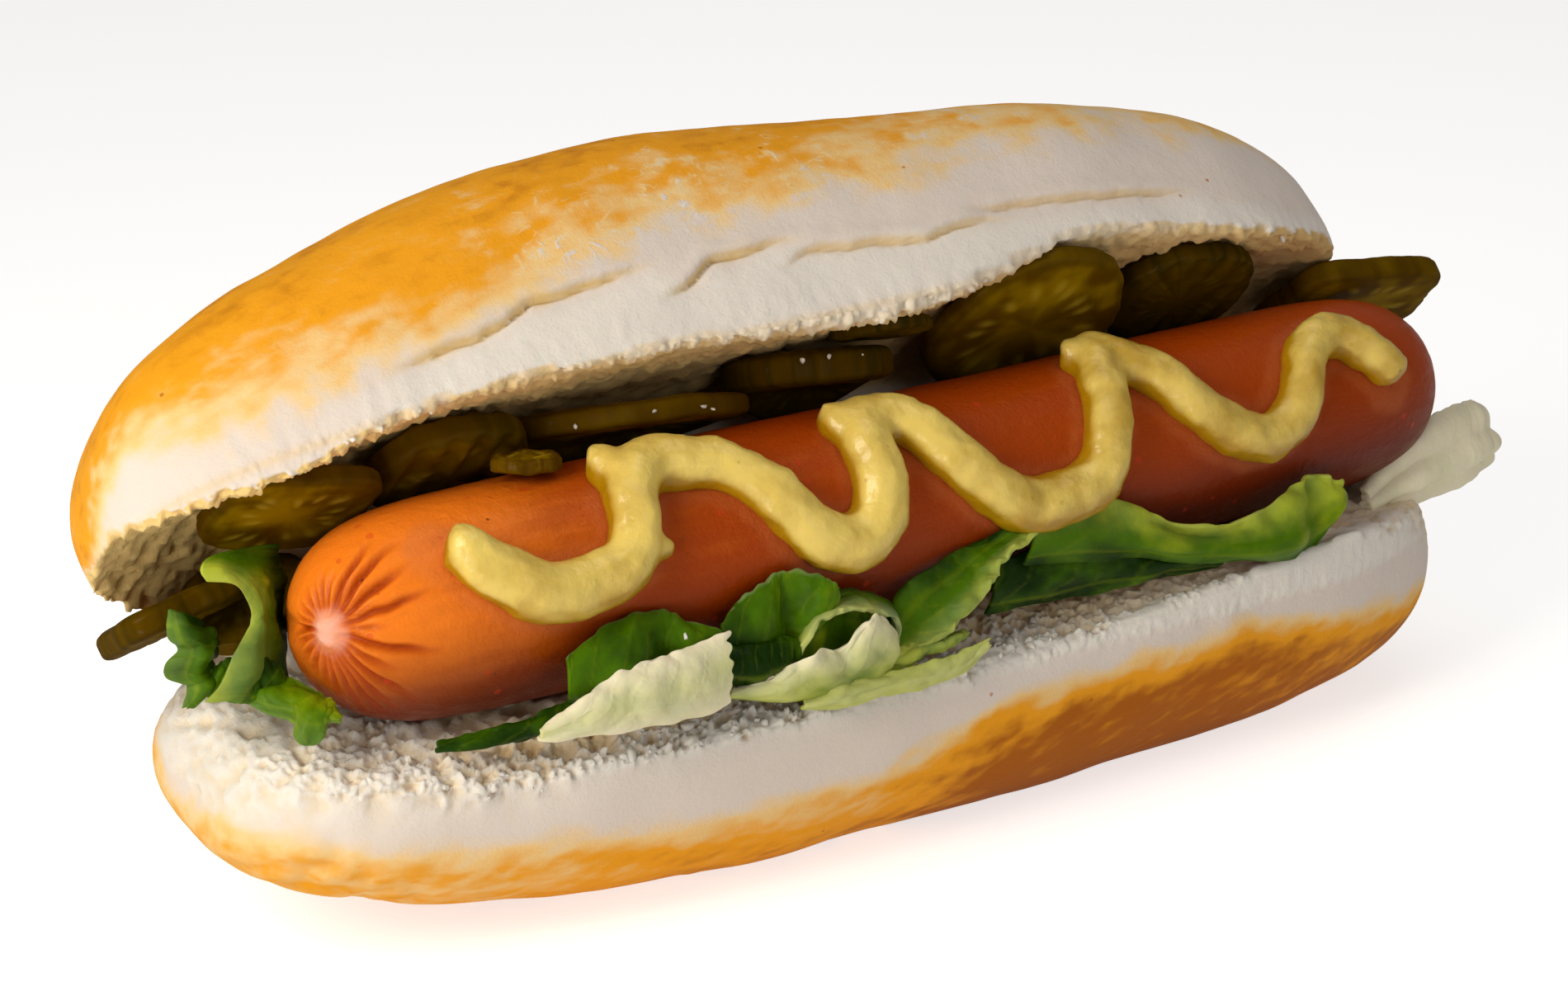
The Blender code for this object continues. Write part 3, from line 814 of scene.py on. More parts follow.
@dataclass
class Roll:
    """The soft split roll, torn open along its front."""

    finish: bpy.types.Material
    sausage: "Sausage"
    slices: "tuple[PickleSlice, ...]"
    voxel: float = 1.14
    hinge_centre: tuple[float, float] = (17.0, 35.0)
    hinge_radius: float = 14.0
    hinge_half_length: float = 80.0
    hinge_turn_in: float = 9.0
    mouth_end: tuple[float, float] = (17.6, 30.6)
    mouth_slope: float = 0.325
    creases: tuple[Crease, ...] = (
        Crease(((-66, 5.6), (-58.4, 6.7), (-54.2, 7.4), (-48.7, 9.5), (-43.5, 9.7), (-34, 10.8)), 1.0),
        Crease(((-33, 6.2), (-30, 7.2), (-26, 9.6), (-22.6, 9.8), (-18, 10.4), (-14, 10.2)), 1.0),
        Crease(((-16.5, 6.9), (-12.7, 8.6), (-5.6, 7.9), (3.3, 6.9), (9, 8.0), (15, 7.6)), 0.8),
        Crease(((11, 9.6), (20, 9.2), (31, 8.4), (44, 7.6)), 0.7),
    )

    def make(self) -> Piece:
        """Models and dresses the roll."""
        base = BASE.make("bun_soft")
        places = base.points
        places[:, 2] = np.maximum(places[:, 2], 0.0)
        base.points = places
        roll = base.join([LID.make("lid_half"), self._hinge()])
        roll.one_skin(self.voxel, 3)
        self._press(roll)
        lid, depth, run_in = self._sides(roll.points)
        near_end = roll.points[:, 0] < -66
        front = ((run_in < 13) | near_end) & (roll.points[:, 1] < 18)
        roll.finer_where(front & (depth < np.where(lid, 12.5, 2.5)) & (depth > np.where(lid, -5.0, -4.0)))
        lid, depth, run_in = self._sides(roll.points)
        near_end = roll.points[:, 0] < -70
        lip = ((run_in < 9) & (roll.points[:, 0] < 60)) | (near_end & (run_in < 18))
        roll.finer_where(lip & (depth < np.where(lid, 0.8, 1.0)) & (depth > np.where(lid, -3.5, -3.0)))
        self._sculpt(roll)
        return roll.finish(self.finish, "bun_crust", "bun")

    def _hinge(self) -> Piece:
        """The uncut bread along the back."""
        piece = Piece.ball("hinge", 48, 64)
        ball = piece.points * MM
        ring = np.hypot(ball[:, 0], ball[:, 1])
        full = np.where(ring > 1e-4, np.maximum(ring, 1e-4) ** -0.4, 0.0) * self.hinge_radius
        y = self.hinge_centre[0] + ball[:, 0] * full - self.hinge_turn_in * ball[:, 2] ** 4
        z = self.hinge_centre[1] + ball[:, 1] * full
        piece.points = np.column_stack([self.hinge_half_length * ball[:, 2], y, z])
        piece.mend()
        return piece

    def _sides(self, points: np.ndarray) -> tuple[np.ndarray, np.ndarray, np.ndarray]:
        """Tells lid from base.

        Args:
            points: Places on the roll.

        Returns:
            True for the lid, the depth out from its half's cut plane, and the run in from its lip.
        """
        line = self.mouth_end[1] + (self.mouth_end[0] - points[:, 1]) * self.mouth_slope
        lid = points[:, 2] > np.where(points[:, 1] < self.mouth_end[0], line, 33.0)
        in_lid, out_lid = LID.over_cut(points)
        in_base, out_base = BASE.over_cut(points)
        return lid, np.where(lid, out_lid, out_base), np.where(lid, in_lid, in_base)

    def _press(self, roll: Piece) -> None:
        """Pushes the crumb back from the sausage and the slices that press into it."""
        places = roll.points
        places = self.sausage.push_out(places, 0.25)
        lid = self._sides(places)[0]
        for piece in self.slices:
            places = piece.push_away(places, lid, 0.2)
        roll.points = places

    def _sculpt(self, roll: Piece) -> None:
        """Gives the crust its folds, the lips their torn edge and the cut faces their crumb, and paints shade into the
        folds, the crumb's hollows and under the lid.
        """
        places = roll.points
        facing = roll.normals
        lid, depth, run_in = self._sides(places)
        x, y, z = places.T
        _, out_lid = LID.axes
        _, out_base = BASE.axes
        cut_facing = np.where(lid, -(facing[:, 1:] @ out_lid), -(facing[:, 1:] @ out_base))
        front = smooth_step(24, 12, run_in) * (y < 18)
        in_mouth = (y < 17) & (depth < 6) & (depth > -9)
        crumb = smooth_step(0.1, 0.5, cut_facing) * in_mouth
        skin = 1 - crumb
        grain = Grain(3)
        moved = skin * (0.55 * grain.cloud(places / 26, 2) + 0.14 * grain.cloud(places / np.array([9, 7, 7]) + 5, 2))
        # folds along the lid, each with the bread below it set back and painted shade along the fold
        wobble = 0.35 * grain.cloud(places / 4 + 31, 3)
        tan = np.zeros(len(places))
        torn_top = np.interp(x, (-80, -66, -50, -34, -30, -18, -12, 10, 45, 60), (3, 5, 8, 10, 7.5, 10, 8.3, 7.8, 7, 4))
        for crease in self.creases:
            above, fade = crease.over(x, depth + wobble)
            fade = fade * lid * front * skin * crease.depth
            moved += fade * (0.34 * hump(above, 1.3, 1.1) - 0.75 * hump(above, 0.0, 0.32))
            moved -= fade * 0.6 * smooth_step(0.3, -0.2, above) * np.exp(np.minimum(above, 0) / 2.6)
            # painted shade: tan along each fold
            tan = np.maximum(tan, 0.9 * fade * hump(above, 0.1, 0.4))
        # fibres that run up and down beside the lips, and a ragged edge
        fibres = grain.cloud(np.column_stack([x / 1.3, y / 5, z / 5]) + 50, 3)
        lip = smooth_step(8, 0.5, depth) * skin * front * (depth > -4)
        edge = hump(depth, 0.0, 1.1) * front
        ragged = grain.cloud(places / 1.3 + 80, 3, 0.7)
        shreds = np.abs(grain.cloud(np.column_stack([x / 1.0, y / 2.4, z / 2.4]) + 90, 2))
        moved += lip * 0.11 * fibres + edge * np.where(lid, 0.16 * ragged + 0.10 * shreds, (0.26 * ragged + 0.26 * shreds) * (1 - 0.7 * smooth_step(0, 40, x)))
        # crumb: grains on the base, fibres that hang from the lid
        grains = grain.cloud(places / 2.6 + 11, 4, 0.62)
        ridges = 1 - 2.2 * np.abs(grain.cloud(places / 3.2 + 11, 3, 0.6))
        fluff = 1 - 2.2 * np.abs(grain.cloud(places / 1.5 + 29, 3, 0.6))
        wander = grain.cloud(np.column_stack([x / 7, 0 * y, 0 * z]) + 17, 3)
        tear = run_in - 1.6 - 1.6 * smooth_step(-58, -72, x) - 2.4 * wander - 1.2 * grain.cloud(places / 2.2 + 37, 2)
        base_crumb = smooth_step(-0.5, 0.8, tear) * (0.85 * ridges + 0.45 * fluff - 0.85)
        base_crumb += hump(tear, 0.5, 0.9) * (0.15 + 0.7 * np.maximum(fluff, 0))
        base_crumb *= 1 - 0.55 * smooth_step(-5, 30, x) - 0.4 * smooth_step(-66, -80, x)
        base_crumb -= 0.6 * smooth_step(0.8, 3.0, run_in) * smooth_step(70, 40, x) * smooth_step(0, 20, x)
        hanging = 0.6 * grain.cloud(np.column_stack([x / 1.6, y / 3.2, z / 3.2]) + 66, 4, 0.6)
        pits, _ = grain.cells(places / np.array([2.2, 3.0, 3.0]))
        lid_crumb = hanging - 0.5 * smooth_step(0.45, 0.15, pits) + 0.25 * grain.cloud(places / 0.9 + 70, 2)
        moved += crumb * np.where(lid, lid_crumb, base_crumb)
        # soft folds low at the near end of the base
        for middle, height, size in ((-84, 17.5, 2.6), (-80.5, 13.5, 2.2), (-86, 12.5, 2.0), (-74, 9.0, 2.2)):
            ring = np.hypot((x - middle) * 0.8, z - height + 0.4 * wobble) - size
            moved -= 0.45 * hump(ring, 0, 0.8) * smooth_step(0.1, -0.4, facing[:, 1]) * ~lid * (x < -70)
        moved[z < 0.4] = 0
        places = places + facing * moved[:, None]
        places[:, 2] = np.maximum(places[:, 2], 0.0)
        roll.points = places
        self._brown(roll, lid, depth, grain, facing)
        torn = 0.8 * smooth_step(1.2, -2.2, depth - torn_top - 0.5 * fibres) * smooth_step(-80, -60, x) * lid
        torn = np.maximum(torn, ~lid * smooth_step(1.6, 0.0, depth - 0.6 * ragged))
        roll.paint("torn", np.clip(np.maximum(torn * front * (depth > -4), crumb), 0, 1))
        # painted shade: tan and shade deepen under the lid and deep in the mouth, and tan fills the crumb's hollows
        under = lid * smooth_step(0.1, 0.7, crumb + 0.2 * ragged)
        inner = smooth_step(-72, -58, x)
        deep = smooth_step(-18, -4, y) * crumb * ~lid * inner
        edge_tan = 0.35 * lid * hump(depth, 0.0, 0.6) * front
        far_in = smooth_step(0, 3, run_in + 1.2 * grains)
        golden = 0.15 + 0.75 * smooth_step(1.5, 7, run_in + 2.0 * hanging)
        lid_tan = under * np.where(x < -62, golden, 0.24 + 0.5 * far_in)
        hollows = ~lid * crumb * (0.34 * smooth_step(0.0, -0.7, base_crumb) + 0.3 * inner * smooth_step(3, 8, run_in))
        roll.paint("tan", np.clip(np.maximum.reduce([tan, edge_tan, lid_tan, hollows]), 0, 1))
        roll.paint("shade", np.clip(np.maximum(under * inner * (0.05 + 0.42 * smooth_step(0.5, 7, run_in) + 0.15 * hanging), 0.8 * deep), 0, 1))
        self.crumbled = self._strewn(places, facing, x, depth, run_in, lid, crumb)

    def _brown(self, roll: Piece, lid: np.ndarray, depth: np.ndarray, grain: Grain, facing: np.ndarray) -> None:
        """Bakes the crust: golden on top and at the ends, dark below, pale where rolls touched; the base's darkening to
        the right is partly painted shade, and the back of the mouth is browned as painted shade.
        """
        places = roll.points
        x, y, z = places.T
        start = np.interp(
            x, (-97, -88, -76, -64, -52, -40, -28, 30, 43, 55, 68, 80), (61, 63.5, 67.5, 70, 72.5, 75, 77, 79.5, 78.5, 75, 70, 62)
        )
        soft = 1.2 * grain.cloud(places / np.array([9, 6, 6]) + 3, 3)
        fibre = 0.9 * grain.cloud(np.column_stack([x / 3.5, y / 9, z / 9]) + 61, 3)
        high = smooth_step(-6.5, 6.0, z - start + soft + fibre)
        back = smooth_step(6, 22, y + 0.35 * (z - 60))
        back = np.maximum(back, smooth_step(-82, -91, x) * smooth_step(-3, 6, y))
        lid_brown = np.maximum(high, 0.92 * back) * (0.68 + 0.07 * smooth_step(-60, 10, x))
        base_start = np.interp(x, (-90, -80, -60, -40, -15, 5, 40, 60, 80), (20, 18, 15, 12, 12.5, 17, 18, 15, 13.5))
        low = smooth_step(4.5, -5.0, z - base_start + 0.9 * soft + 0.5 * fibre)
        # darker to the right along the base: partly real browning, partly painted shade; darker still towards the
        # bottom
        dark = np.interp(x, (-90, -60, -30, -8, 5, 40, 60, 80), (0.46, 0.52, 0.58, 0.72, 1.02, 1.0, 0.86, 0.84))
        dark = dark + 0.12 * smooth_step(9, 2, z)
        base_brown = np.maximum(low * dark, 0.75 * smooth_step(4, 20, y) * smooth_step(30, 22, z))
        browning = np.where(lid, lid_brown, base_brown)
        slant = np.column_stack([(x + 0.45 * z) / 8, (z - 0.45 * x) / 1.5, y / 2.4])
        browning = browning * (1 + 0.22 * grain.cloud(slant, 3) + 0.10 * grain.cloud(places / 1.6 + 12, 2))
        turned = smooth_step(0.78, 1.0, facing @ unit(np.array([-0.85, 0.52, 0.0])))
        browning = np.maximum(browning, 0.55 * turned * (x < -60) * (np.abs(depth) > 0.5))
        # painted shade: the back of the mouth, where lid and base meet, is browned to stand in for its shade
        hinge = smooth_step(12, 20, y) * hump(z, 33, 7)
        browning = np.maximum(browning * (1 - hinge), 0.45 * hinge)
        patch = hump(np.hypot((x + 42) / 2.0, z - 76.5), 0, 3.6) + hump(np.hypot((x + 25) / 1.3, z - 78), 0, 4.5)
        patch = patch + 0.9 * hump(np.hypot((x + 8) / 1.5, z - 80), 0, 4) + 0.7 * hump(np.hypot((x - 12) / 2, z - 81), 0, 3)
        patch = patch + 1.2 * hump(np.hypot(x - 20, (z - 79.5) / 2.5), 0, 1.6)
        roll.paint("browning", browning)
        patchy = smooth_step(-0.5, 0.5, grain.cloud(places / 3.0 + 90, 2))
        roll.paint("stretch", np.clip(patch * patchy, 0, 1) * lid * (y < 12))

    @staticmethod
    def _strewn(places: np.ndarray, facing: np.ndarray, x: np.ndarray, depth: np.ndarray, run_in: np.ndarray,
                lid: np.ndarray, crumb: np.ndarray) -> tuple[np.ndarray, np.ndarray]:
        """Picks where loose crumbs cling.

        Returns:
            Their places and the ways that the bread faces there.
        """
        source = np.random.default_rng(8)
        base_lip = ~lid & (run_in > 0.8) & (run_in < 6) & (np.abs(depth) < 3) & (crumb > 0.4) & (x < 12)
        lid_lip = lid & (run_in > 0.6) & (run_in < 10) & (depth < 2.5) & (depth > -5) & (crumb > 0.5)
        near_base = source.choice(np.flatnonzero(base_lip), 110, replace=False)
        near_lid = source.choice(np.flatnonzero(lid_lip), 14, replace=False)
        chosen = np.concatenate([near_base, near_lid])
        return places[chosen], facing[chosen]


@dataclass
class Crumbs:
    """Loose torn bits of bread along the lips and on the slices."""

    finish: bpy.types.Material
    on_slices: tuple[Place, ...] = (
        (-34.5, -10.5, 56.2), (-36.5, -9.5, 56.6), (-28.0, -10.8, 55.6), (-27.2, -11.4, 55.4), (-44.0, -9.0, 55.8),
        (-13.5, -9.5, 58.2), (-10.0, -9.8, 58.0), (-5.5, -10.2, 57.6), (-42.0, -28.2, 36.4),
    )

    def make(self, places: np.ndarray, facing: np.ndarray) -> Piece:
        """Models and dresses the crumbs.

        Args:
            places: Where the loose ones cling.
            facing: The ways that the bread faces there.

        Returns:
            The piece.
        """
        deselect_all()
        bpy.ops.mesh.primitive_ico_sphere_add(subdivisions=1, radius=1)
        start = Piece._named("crumb_bits")
        corners = start.points * MM
        faces = np.array([face.vertices[:] for face in start.obj.data.polygons])
        source = np.random.default_rng(31)
        extra = np.array(self.on_slices)
        middles = np.concatenate([places + facing * 0.02, extra])
        sizes = np.concatenate([0.22 + 0.42 * source.random(len(places)) ** 3, 0.22 + 0.14 * source.random(len(extra))])
        count = len(middles)
        lumps = 1 + 0.32 * source.normal(size=(count, len(corners), 1)).clip(-1.3, 1.3)
        stretch = 0.4 + 1.2 * source.random((count, 1, 3))
        bits = middles[:, None, :] + corners[None] * lumps * stretch * sizes[:, None, None]
        rows = (faces[None] + len(corners) * np.arange(count)[:, None, None]).reshape(-1, 3)
        mesh = start.obj.data
        mesh.clear_geometry()
        mesh.from_pydata((bits.reshape(-1, 3) * MM).tolist(), [], rows.tolist())
        start.paint("torn", np.ones(count * len(corners)))
        start.mend()
        return start.finish(self.finish, "bun_crust")


# ---------------------------------------------------------------- sausage


@dataclass(frozen=True)
class Wrinkle:
    """One fold that runs out from the sausage's knot."""

    angle: float
    length: float
    depth: float
    width: float = 0.55
    bend: float = 0.0


@dataclass
class Sausage:
    """A frankfurter with a gathered, wrinkled near end."""

    finish: bpy.types.Material | None = None
    radius: float = 12.5
    half_length: float = 81.0
    axis: tuple[float, float] = (-12.0, 40.0)
    end_power: float = 13.0
    bow: float = 0.6
    knot: Place = (-79.9, -16.6, 41.9)
    knot_facing: Place = (-0.88, -0.46, 0.16)
    wrinkles: tuple[Wrinkle, ...] = (
        Wrinkle(80, 12.0, 0.75, 0.6), Wrinkle(97, 7.0, 0.5), Wrinkle(63, 13.5, 0.8, 0.6, 0.10),
        Wrinkle(72, 8.0, 0.4, 0.45), Wrinkle(46, 12.5, 0.8, 0.6, 0.12), Wrinkle(55, 8.0, 0.35, 0.4),
        Wrinkle(27, 13.5, 0.75, 0.6, 0.08), Wrinkle(37, 7.5, 0.4, 0.4), Wrinkle(14, 8.0, 0.45, 0.45),
        Wrinkle(-6, 14.0, 0.75, 0.6), Wrinkle(4, 6.0, 0.35, 0.4), Wrinkle(-22, 10.0, 0.55, 0.5, -0.10),
        Wrinkle(-35, 14.0, 0.65, 0.55, -0.18), Wrinkle(-48, 13.0, 0.55, 0.5, -0.2), Wrinkle(-58, 13.0, 0.55, 0.5, -0.2),
        Wrinkle(-70, 12.0, 0.5, 0.5, -0.15), Wrinkle(-84, 10.0, 0.5, 0.5, -0.1), Wrinkle(-98, 8.0, 0.45),
        Wrinkle(-115, 7.5, 0.5), Wrinkle(-132, 7.0, 0.5), Wrinkle(-150, 6.5, 0.5), Wrinkle(-170, 7.0, 0.8, 0.7),
        Wrinkle(172, 6.0, 0.5), Wrinkle(155, 6.0, 0.5), Wrinkle(138, 6.5, 0.5), Wrinkle(122, 6.5, 0.5),
        Wrinkle(109, 7.5, 0.5),
    )

    def sag(self, x: np.ndarray) -> np.ndarray:
        """How far the middle line bows down."""
        return -self.bow * (1 - (x / self.half_length) ** 2)

    def push_out(self, places: np.ndarray, gap: float) -> np.ndarray:
        """Moves what lies inside the sausage out to a gap over its skin."""
        x = places[:, 0]
        share = np.clip(np.abs(x) / (self.half_length + gap), 0, 1)
        round_ = (self.radius + gap) * np.sqrt(1 - share**self.end_power)
        side = places[:, 1:] - np.column_stack([np.full(len(x), self.axis[0]), self.axis[1] + self.sag(x)])
        far = np.linalg.norm(side, axis=1)
        inside = (far < round_) & (share < 1)
        moved = places.copy()
        lift = side[inside] / np.maximum(far[inside], TINY)[:, None] * (round_ - far)[inside][:, None]
        moved[inside, 1:] += lift
        return moved

    def over_skin(self, x: np.ndarray, degrees: np.ndarray, height: np.ndarray) -> np.ndarray:
        """Places over the skin, with degrees from its top round to the front."""
        turn = np.radians(degrees)
        reach = self.radius + height
        return np.column_stack([
            x, self.axis[0] - reach * np.sin(turn), self.axis[1] + self.sag(x) + reach * np.cos(turn)
        ])

    def make(self, sauce: np.ndarray) -> Piece:
        """Models and dresses the sausage.

        Args:
            sauce: Places along the mustard's line, whose wetness tints the skin.

        Returns:
            The piece.
        """
        piece = Piece.ball("sausage_smoked", 224, 300)
        ball = piece.points * MM
        length = np.linspace(0, 1, 4001)
        profile_x = np.cos(math.pi * length) * -self.half_length
        profile_r = self.radius * np.sqrt(np.clip(1 - np.abs(profile_x / self.half_length) ** self.end_power, 0, 1))
        steps = np.hypot(np.diff(profile_x), np.diff(profile_r))
        dense = 1 + 2.6 * smooth_step(-48, -60, profile_x[1:])
        arc = np.concatenate([[0], np.cumsum(steps * dense)])
        share = (np.arcsin(np.clip(ball[:, 2], -1, 1)) / math.pi + 0.5) * arc[-1]
        x = np.interp(share, arc, profile_x)
        round_ = np.interp(share, arc, profile_r)
        across = unit(ball[:, :2]) * (round_ > TINY)[:, None]
        places = np.column_stack([x, self.axis[0] + round_ * across[:, 0], self.axis[1] + self.sag(x) + round_ * across[:, 1]])
        piece.points = places
        piece.mend()
        self._gather(piece, sauce)
        return piece.finish(self.finish, "sausage_skin", "sausage")

    def _gather(self, piece: Piece, sauce: np.ndarray) -> None:
        """Gathers the near end into its knot and paints the skin."""
        places = piece.points
        facing = piece.normals
        grain = Grain(11)
        away = places - np.array(self.knot)
        normal = unit(np.array(self.knot_facing))
        up = unit(np.array([0.0, 0.0, 1.0]) - normal * normal[2])
        right = np.cross(up, normal)
        flat_x = away @ right
        flat_y = away @ up
        far = np.linalg.norm(away, axis=1)
        angle = np.degrees(np.arctan2(flat_y, flat_x))
        fold = np.zeros(len(places))
        rise = np.zeros(len(places))
        jitter = 0.35 * grain.smooth(places / 3.2)
        for wrinkle in self.wrinkles:
            turn = angle - wrinkle.angle - wrinkle.bend * far * 3
            turn = (turn + 180) % 360 - 180
            off = np.radians(turn) * np.maximum(far, 0.5) + jitter
            near = np.abs(turn) < 80
            size = wrinkle.depth * smooth_step(0.6, 2.6, far) * smooth_step(wrinkle.length, wrinkle.length * 0.55, far)
            narrow = np.minimum(0.72 * wrinkle.width, 0.11 * far + 0.10)
            dip = np.exp(-((off / narrow) ** 2)) * near
            ridge = (np.exp(-(((off - 2 * narrow) / narrow) ** 2)) + np.exp(-(((off + 2 * narrow) / narrow) ** 2))) * near
            fold = np.maximum(fold, size * dip)
            rise += size * 0.28 * ridge
        moved = -fold + rise * 0.8
        knot = smooth_step(2.6, 0.6, far)
        moved += 0.25 * knot + 0.22 * knot * grain.cloud(places / 0.8, 2) - 0.25 * hump(far, 2.4, 0.9)
        notch = hump(angle, -172, 10) + hump(angle, 188, 10)
        moved -= 0.8 * notch * smooth_step(3, 6, far) * smooth_step(12, 8, far)
        moved += 0.12 * grain.cloud(places / np.array([16, 9, 9]), 2)
        moved += 0.03 * grain.cloud(places / 1.3, 2)
        piece.points = places + facing * moved[:, None]
        finder = KDTree(len(sauce))
        for number, place in enumerate(sauce):
            finder.insert(place, number)
        finder.balance()
        close = np.array([finder.find(place)[2] for place in places])
        # painted shade along the low side, which also pulls the skin towards brick brown
        low = smooth_step(44, 31, places[:, 2] - 2.5 * smooth_step(10, 50, places[:, 0]))
        piece.paint("along", np.clip(smooth_step(-84, -22, places[:, 0] + 22 * low), 0, 1) + 0.12 * smooth_step(10, 80, places[:, 0]))
        piece.paint("low", low)
        # painted shade in the wrinkles' folds
        piece.paint("fold", np.clip(fold * 1.7, 0, 1) * smooth_step(1.0, 3.0, far))
        piece.paint("knot", smooth_step(3.3, 0.6, far + 0.7 * grain.smooth(places / 1.2)) * 0.8)
        piece.paint("wet", smooth_step(5.4, 3.8, close + 0.6 * grain.smooth(places / 2.5)))


# ---------------------------------------------------------------- mustard


@dataclass
class Mustard:
    """One piped line that zigzags over the sausage, each knot as (along X, degrees from the top, radius)."""

    finish: bpy.types.Material
    sausage: Sausage
    rise: float = 1.25
    route: tuple[Place, ...] = (
        (-67.5, 38, 2.6), (-66, 43, 3.2), (-63, 57, 3.7), (-58, 71, 3.9), (-52, 72, 3.8), (-47, 66, 3.6), (-45, 52, 3.5), (-43.5, 34, 3.5),
        (-40, 20, 3.8), (-36, 22, 3.7), (-31, 30, 3.5), (-27.5, 44, 3.4), (-25, 60, 3.6), (-20, 80, 3.8), (-14.5, 76, 3.8),
        (-12.2, 55, 3.7), (-12, 34, 3.6), (-11, 22, 3.6), (-6, 26, 3.5), (-3, 44, 3.5), (0, 60, 3.6), (6, 82, 3.9),
        (13, 85, 3.9), (18, 78, 3.7), (21, 56, 3.4), (23.5, 28, 3.4), (25, 8, 3.2), (27, 18, 3.4), (31, 34, 3.3),
        (36, 62, 3.4), (43.5, 80, 3.5), (49.5, 69, 3.4), (54, 42, 3.3), (59.5, 35, 3.3), (63.5, 50, 3.3), (66.5, 67, 3.1),
    )
    spurs: tuple[tuple[Place, ...], ...] = (
        ((-47.5, 58, 3.0), (-44, 62, 2.5), (-40.6, 64, 1.1)),
        ((-42.5, 28, 3.2), (-44.5, 12, 2.9), (-46, 7, 2.2)),
        ((-11.5, 30, 3.2), (-14, 18, 3.0), (-15.5, 14, 2.4)),
        ((24.5, 14, 3.0), (22.5, 6, 2.8), (21.5, 2, 2.0)),
    )

    def line(self) -> np.ndarray:
        """Places along the piped line."""
        knots = curve_through(self.route, 8 * len(self.route))
        return self.sausage.over_skin(knots[:, 0], knots[:, 1], np.full(len(knots), self.rise))

    def make(self) -> Piece:
        """Models and dresses the mustard."""
        strands = [self._strand(self.route, 0)]
        strands += [self._strand(spur, number + 1) for number, spur in enumerate(self.spurs)]
        piece = strands[0].join(strands[1:])
        piece.one_skin(0.5, 6)
        places = piece.points
        facing = piece.normals
        grain = Grain(21)
        lumps = 0.36 * grain.cloud(places / 5.0, 2) + 0.09 * grain.cloud(places / 1.9 + 9, 3) - 0.40
        places = places + facing * lumps[:, None]
        skin = self.sausage.radius - 0.35
        side = places[:, 1:] - np.column_stack([np.full(len(places), self.sausage.axis[0]), self.sausage.axis[1] + self.sausage.sag(places[:, 0])])
        far = np.linalg.norm(side, axis=1)
        sunk = far < skin
        places[sunk, 1:] += side[sunk] / far[sunk][:, None] * (skin - far[sunk])[:, None]
        piece.points = places
        # painted shade: deeper yellow on the down-facing side and towards the right end, added to the deeper yellow low
        # on the bead's sides
        shadow = 0.62 * smooth_step(0.15, -0.8, facing[:, 2] - 0.35 * facing[:, 0])
        shadow += 0.24 * smooth_step(-15, 20, places[:, 0])
        piece.paint("thin", np.clip(smooth_step(3.0, 0.5, far - self.sausage.radius) + shadow, 0, 1))
        return piece.finish(self.finish, "mustard_sauce", "mustard")

    def _strand(self, knots: Sequence[Place], number: int) -> Piece:
        """One round bead along some knots."""
        read = curve_through(knots, 6 * len(knots))
        places = self.sausage.over_skin(read[:, 0], read[:, 1], np.full(len(read), self.rise))
        deselect_all()
        bpy.ops.curve.primitive_nurbs_path_add()
        path = bpy.context.active_object
        path.location = (0, 0, 0)
        path.data.splines.clear()
        path.data.bevel_depth = MM
        path.data.bevel_resolution = 4
        path.data.use_fill_caps = True
        spline = path.data.splines.new("POLY")
        spline.points.add(len(places) - 1)
        tips = np.minimum(np.arange(len(places)), np.arange(len(places))[::-1])
        tips = np.minimum(1.0, 0.55 + 0.22 * tips)
        for point, place, round_, tip in zip(spline.points, places * MM, read[:, 2], tips):
            point.co = (*place, 1.0)
            point.radius = round_ * tip
        bpy.ops.object.convert(target="MESH")
        piece = Piece._named("mustard_strand_%d" % number if number else "mustard_piped")
        piece.mend()
        return piece


# ---------------------------------------------------------------- pickles


class PickleLook(Enum):
    """How a slice shows."""

    FRESH = 0.0
    STREAKED = 0.45
    DARK = 0.75


